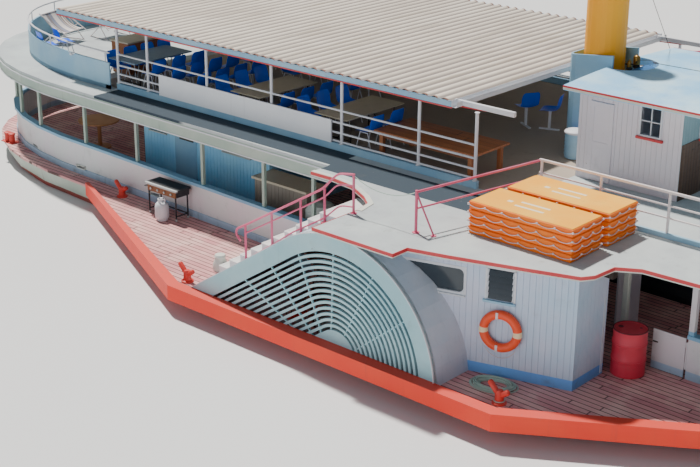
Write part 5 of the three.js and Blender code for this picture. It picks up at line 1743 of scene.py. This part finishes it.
# %% Inside the fore house
benches, linings = Shape(), Shape()
for z, reach in ((1.02, 0.42), (1.50, 0.18)):
    benches.block((5.30, -3.90, z), (6.6, -3.90 + reach, z + 0.035))
    benches.block((5.30, 3.90 - reach, z), (6.6, 3.90, z + 0.035))
benches.block((4.5, -2.7, 1.75), (6.9, -2.62, 1.80))
benches.block((4.5, -2.2, 2.05), (6.9, -2.12, 2.10))
benches.piece("fore_house_benches", timber, bevel=0.006)
post = Shape()
post.block((3.66, -3.75, ON_MAIN), (3.76, -3.65, 2.61))
post.piece("fore_house_post", cream, bevel=0.006)
linings.block((3.30, -3.35, ON_MAIN), (3.34, -2.55, 2.45))
linings.block((3.34, -3.28, 1.30), (3.352, -2.62, 2.35))
linings.piece("fore_house_door_panel", lilac, bevel=0.005)
print("pieces so far:", len(PIECES))

# %% [markdown]
# ## Chairs in rows
#
# Under the roof stand rows of moulded blue chairs. One shell and one set of legs are modelled,
# and a recipe repeats a mesh along a row, turned the way the row faces. Each row is a line in a
# short table.

# %% Row recipe
rows = Recipe("row", Count=3, Start=(0.0, 0.0, 0.0), Step=(0.0, 0.55, 0.0), Turn=0.0)
row_line = rows.node("GeometryNodeMeshLine", {"mode": "OFFSET"}, {
    "Count": rows.entry["Count"], "Start Location": rows.entry["Start"],
    "Offset": rows.entry["Step"]})
rows.finish_with(rows.node("GeometryNodeInstanceOnPoints", {}, {
    "Points": row_line, "Instance": rows.entry["Geometry"],
    "Rotation": rows.vector(0.0, 0.0, rows.entry["Turn"])}), white)

# %% One chair
SEAT_LINE = [
    # forward, height, half width, how much the sides curl up
    (0.21, 0.425, 0.19, 0.012), (0.17, 0.445, 0.205, 0.022), (0.05, 0.435, 0.215, 0.035),
    (-0.08, 0.430, 0.215, 0.040), (-0.16, 0.450, 0.21, 0.045), (-0.195, 0.50, 0.205, 0.04),
    (-0.215, 0.58, 0.21, 0.03), (-0.235, 0.69, 0.21, 0.025), (-0.252, 0.77, 0.195, 0.02),
    (-0.260, 0.80, 0.15, 0.015),
]


def chair_shell():
    """A bent sheet whose sides curl up on the seat and forward on the back."""
    mesh = bmesh.new()
    grid = []
    for k, (x, z, half, curl) in enumerate(SEAT_LINE):
        lean = min(1.0, max(0.0, (z - 0.45) / 0.15))
        line = []
        for across in (-1, -0.85, -0.5, 0, 0.5, 0.85, 1):
            rise = curl * across ** 2
            line.append(mesh.verts.new((x + rise * lean, half * across, z + rise * (1 - lean))))
        grid.append(line)
    for a, b in zip(grid, grid[1:]):
        for k in range(6):
            mesh.faces.new((a[k], a[k + 1], b[k + 1], b[k]))
    flat = bpy.data.meshes.new("chair_sheet")
    mesh.to_mesh(flat)
    return with_modifier(with_modifier(flat, "SOLIDIFY", thickness=0.009, offset=0), "SUBSURF",
                         levels=1)


def chair_legs():
    legs = Shape()
    for side in (-1, 1):
        for foot, top in ((0.20, 0.10), (-0.24, -0.10)):
            legs.tube([(foot, side * 0.20, 0.0), (top, side * 0.16, 0.425)], 0.011, 8)
        legs.tube([(0.10, side * 0.16, 0.425), (-0.10, side * 0.16, 0.425)], 0.011, 8)
    return legs.to_mesh("chair_legs")


# %% Rows of chairs
chair_blue = paint("chair_blue", 0x1060F0, 0x1C70F4, dirt=0.1, chips=0.0, roughness=0.35)
ROWS = [
    # x, y of the first, number, spacing, way it faces in degrees
    (-10.30, -3.42, 4, 0.52, 0), (-9.22, -3.30, 3, 0.60, 180), (-8.45, -3.38, 4, 0.56, 180),
    (-7.62, -3.38, 4, 0.56, 180), (-6.72, -3.30, 3, 0.60, 0), (-5.12, -3.30, 3, 0.60, 180),
    (-4.25, -3.30, 3, 0.60, 0), (-2.62, -3.32, 2, 0.62, 180), (-8.45, -0.9, 3, 0.6, 180),
    (-7.0, -1.0, 3, 0.6, 0), (-5.0, -1.2, 2, 0.6, 180), (-13.3, -3.22, 2, 0.5, 75),
]
PEDESTALS = ((-1.33, 0.30, 150), (-0.80, 0.42, 200), (0.35, 0.15, 185), (0.55, -0.45, 170))
one_shell, one_leg_set = chair_shell(), chair_legs()
shells, legs = Shape(), Shape()
for x, y, count, spacing, facing in ROWS:
    place = dict(Count=count, Start=(x, y, ON_UPPER), Step=(0.0, spacing, 0.0),
                 Turn=math.radians(facing))
    shells.join(grow(rows, one_shell, **place))
    legs.join(grow(rows, one_leg_set, **place))
for x, y, facing in PEDESTALS:
    turn = Matrix.Translation((x, y, ON_UPPER)) @ Matrix.Rotation(math.radians(facing), 4, "Z")
    shells.join(one_shell, turn)
    foot = Shape()
    foot.block((-0.025, -0.025, 0.02), (0.025, 0.025, 0.425))
    foot.block((-0.22, -0.025, 0.0), (0.22, 0.025, 0.03))
    legs.join(foot.to_mesh("pedestal"), turn)
shells.piece("chair_shells", chair_blue, smooth=60)
legs.piece("chair_legs", white, smooth=50)
print("chairs:", sum(row[2] for row in ROWS) + len(PEDESTALS))

# %% [markdown]
# ## Tables and the deck chairs
#
# Three long tables have thin tops on folding tube trestles, and a fourth is of oiled timber. The
# two deck chairs are sling chairs: striped canvas held between two bars of a tube frame. Cloth
# held at both ends takes a known curve, so the sag is written down and needs no simulation.

# %% Tables
def trestle_table(name, finish, x0, x1, y0, y1, top, node=()):
    board = Shape()
    board.block((x0, y0, top - 0.028), (x1, y1, top))
    board.piece(name + "_top", finish, stands_for=node, bevel=0.006)
    frame = Shape()
    for y in (y0 + 0.22, y1 - 0.22):
        for x in (x0 + 0.10, x1 - 0.10):
            frame.tube([(x, y, ON_UPPER), (x, y, top - 0.03)], 0.014, 8)
        for z in (ON_UPPER + 0.12, top - 0.045):
            frame.tube([(x0 + 0.10, y, z), (x1 - 0.10, y, z)], 0.011, 8)
    for y, end in ((y0 + 0.22, y0 + 0.62), (y1 - 0.22, y1 - 0.62)):
        frame.tube([((x0 + x1) / 2, y, ON_UPPER + 0.12), ((x0 + x1) / 2, end, top - 0.03)], 0.009, 8)
    frame.piece(name + "_trestle", dark_metal)


grey_edge = paint("grey_blue_laminate", 0x6F8CA4, 0x7E99AE, dirt=0.2, chips=0.05, roughness=0.4)
trestle_table("grey_table", grey_edge, -10.45, -9.50, -3.62, -1.85, 3.3703, "table_grey")
trestle_table("beige_table", beige, -6.35, -5.45, -3.60, -1.80, 3.3303, "table_beige")
trestle_table("beige_table_fore", beige, -3.87, -2.97, -3.60, -1.80, 3.3303)
oiled = planking("oiled_boards", (0xA8663C, 0xB4744A, 0x94583A, 0x7A4428), lambda f: f.y, 0.19,
                 lambda f: f.x, wear=0.3, roughness=0.5, gap=0.04)
board = Shape()
board.block((-2.35, -3.50, 3.2003), (0.15, -2.36, 3.2503))
for x in (-2.20, 0.0):
    for y in (-3.40, -2.46):
        board.block((x - 0.045, y - 0.045, ON_UPPER), (x + 0.045, y + 0.045, 3.205))
for y in (-3.40, -2.46):
    board.block((-2.2, y - 0.015, 3.10), (0.0, y + 0.015, 3.205))
board.piece("timber_table", oiled, stands_for="table_timber", bevel=0.008, segments=2)
print("tables: 4")

# %% Cabinet by the stern
cabinet = Shape()
cabinet.block((-11.45, -2.71, ON_UPPER), (-10.82, -1.61, 3.46))
cabinet.piece("cabinet_body", oiled, bevel=0.005)
cabinet = Shape()
cabinet.block((-11.48, -2.74, 3.46), (-10.79, -1.58, 3.50))
cabinet.piece("cabinet_top", beige, bevel=0.006)
print("cabinet: body and top")

# %% Striped canvas
canvas = Finish("striped_canvas", 0.9)
STRIPE = 0.042
wide = canvas.y * 0.98 + canvas.x * -0.2
stripe = canvas.random((wide / STRIPE).floor(), 3.0, 1.0)
tone = canvas.blend(stripe.step(0.30, 0.34), linear(0x8A7F78), linear(0xE4DEDA))
tone = canvas.blend(stripe.step(0.80, 0.84), tone, linear(0x8E93A6))
canvas.colour(canvas.blend(canvas.noise(4.0, 4).step(0.5, 0.8) * 0.25, tone, linear(0xB0A69C)))
canvas.bump(canvas.noise(160.0, 2), 0.2, 0.001)
print("stripes:", STRIPE, "m wide")

# %% Deck chairs
SAG, CLOTH_STEPS = 0.12, 18


def sling_row(head, foot, share):
    """Both edges of the canvas at a share of the way from the head bar to the foot bar."""
    drop = Vector((0, 0, 4 * SAG * share * (1 - share) * (1.15 - 0.3 * share)))
    return [a.lerp(b, share) - drop for a, b in zip(head, foot)]


def sling_chair(name, head, foot):
    """A deck chair: its canvas hangs between two bars whose ends are given."""
    head, foot = [Vector(p) for p in head], [Vector(p) for p in foot]
    frame = Shape()
    for top, low in zip(head, foot):
        along = (low - top).normalized()
        frame.tube([top - along * 0.05, low + along * 0.08], 0.014, 8)
        frame.tube([top.lerp(low, 0.25), (low.x, low.y, ON_UPPER)], 0.013, 8)
        frame.tube([(top.x, top.y, ON_UPPER), top.lerp(low, 0.75)], 0.013, 8)
        frame.tube([(top.x, top.y, ON_UPPER + 0.014), (low.x, low.y, ON_UPPER + 0.014)], 0.013, 8)
    for bar in (head, foot):
        frame.tube(bar, 0.014, 8)
    frame = frame.piece(name + "_frame", rail_white, smooth=50)
    cloth, rows_of_cloth, middle = bmesh.new(), [], []
    for k in range(CLOTH_STEPS + 1):
        a, b = sling_row(head, foot, k / CLOTH_STEPS)
        middle.append(a.lerp(b, 0.5))
        rows_of_cloth.append([cloth.verts.new(a.lerp(b, 0.04 + 0.92 * j / 12)) for j in range(13)])
    for a, b in zip(rows_of_cloth, rows_of_cloth[1:]):
        for j in range(12):
            cloth.faces.new((a[j], a[j + 1], b[j + 1], b[j]))
    flat = bpy.data.meshes.new(name)
    cloth.to_mesh(flat)
    mesh = with_modifier(flat, "SOLIDIFY", thickness=0.003, offset=0)
    mesh.shade_smooth()
    piece = add_piece(name + "_canvas", mesh, canvas)


sling_chair("deck_chair_outer", [(-15.10, -2.10, 3.45), (-15.30, -1.30, 3.45)],
            [(-14.42, -1.90, 3.02), (-14.62, -1.10, 3.02)])
sling_chair("deck_chair_inner", [(-14.80, -0.75, 3.45), (-14.80, 0.05, 3.45)],
            [(-14.08, -0.75, 3.02), (-14.08, 0.05, 3.02)])
print("pieces:", len(PIECES))

# %% [markdown]
# ## Mouldings of the saloon
#
# Two thin mouldings run round the edge of the upper deck over the saloon, and the freeing ports
# in the bulwark have light frames. Both follow the outlines that the solids were made from.

# %% Mouldings and freeing ports
margin = round_end(-10.3, -16.75, 4.45) + [(-2.58, 4.57)]
margin = other_side(margin)[:0:-1] + margin
moulds = Shape()
for low, high, out in ((2.352, 2.372, 0.010), (2.585, 2.612, 0.014)):
    moulds.strip(shifted(margin, out), shifted(margin, -0.002), low, high)
moulds.piece("saloon_mouldings", white)


def port_frames(shape):
    for x, y in ((-8.2, 4.26), (-11.0, 4.18)):
        for low, high in (((-0.17, 0.645), (0.17, 0.66)), ((-0.17, 0.72), (0.17, 0.735)),
                          ((-0.17, 0.645), (-0.15, 0.735)), ((0.15, 0.645), (0.17, 0.735))):
            shape.block((x + low[0], -y - 0.03, low[1]), (x + high[0], -y, high[1]))


both_sides("freeing_port_frames", port_frames, cream)
print("moulding:", len(margin), "points")

# %% [markdown]
# ## Small fittings
#
# A vent and window ledges break the plain wall of the cabin, a small cleat sits on the stern
# panel, and a round bin with a white lid stands behind the wheelhouse.

# %% Small fittings
vent = Shape()
for k in range(3):
    z = 1.70 + 0.024 * k
    vent.block((-8.52, -CABIN_HALF - 0.018, z), (-8.05, -CABIN_HALF, z + 0.015))
vent.piece("saloon_door_vent", dark_metal, body="saloon_door")
ledges = Shape()
for low, high in ((-7.06, -6.14), (-9.56, -8.94)):
    ledges.block((low, -CABIN_HALF - 0.06, 1.705), (high, -CABIN_HALF, 1.735))
    for x in (low, high - 0.05):
        ledges.block((x, -CABIN_HALF - 0.02, 1.735), (x + 0.05, -CABIN_HALF, 2.19))
    ledges.block((low, -CABIN_HALF - 0.02, 2.15), (high, -CABIN_HALF, 2.19))
ledges.piece("cabin_window_ledges", steel_grey, bevel=0.003)
cleat = Shape()
cleat.block((-11.58, -3.88, 3.29), (-11.50, -3.80, 3.33))
cleat.tube([(-11.66, -3.84, 3.35), (-11.54, -3.84, 3.335), (-11.42, -3.84, 3.35)], 0.014)
cleat.piece("stern_panel_cleat", white)
BIN_AT = (0.66, -0.85, ON_UPPER)
ribs = [(0.20 + 0.012 * (k % 2), 0.06 + 0.035 * k) for k in range(13)]
bin_body = Shape()
bin_body.turned([(0.16, 0.0), (0.20, 0.02)] + ribs + [(0.20, 0.52)], BIN_AT, 24)
bin_body.piece("ribbed_bin", blue_grey, smooth=60)
lid = Shape()
lid.turned([(0.22, 0.52), (0.225, 0.54), (0.21, 0.565), (0.05, 0.575)], BIN_AT, 24)
lid.piece("bin_lid", white, smooth=60)
print("pieces in all:", len(PIECES))

# %% [markdown]
# ## Floor
#
# The boat is afloat, so the plain pale floor lies at its waterline and hides what is below.

# %% Floor at the waterline
floor_mesh = bpy.data.meshes.new("floor")
floor_mesh.from_pydata([(-160, -160, 0), (160, -160, 0), (160, 160, 0), (-160, 160, 0)], [],
                       [(0, 1, 2, 3)])
floor = bpy.data.objects.new("floor", floor_mesh)
bpy.context.collection.objects.link(floor)
floor_finish = Finish("pale_floor", 0.9)
pale_clouds = floor_finish.noise(0.2, 2)
floor_finish.colour(floor_finish.blend(pale_clouds, linear(0xD9DCDE), linear(0xDEE0E1)))
floor.data.materials.append(floor_finish.material)
print("floor at the waterline")
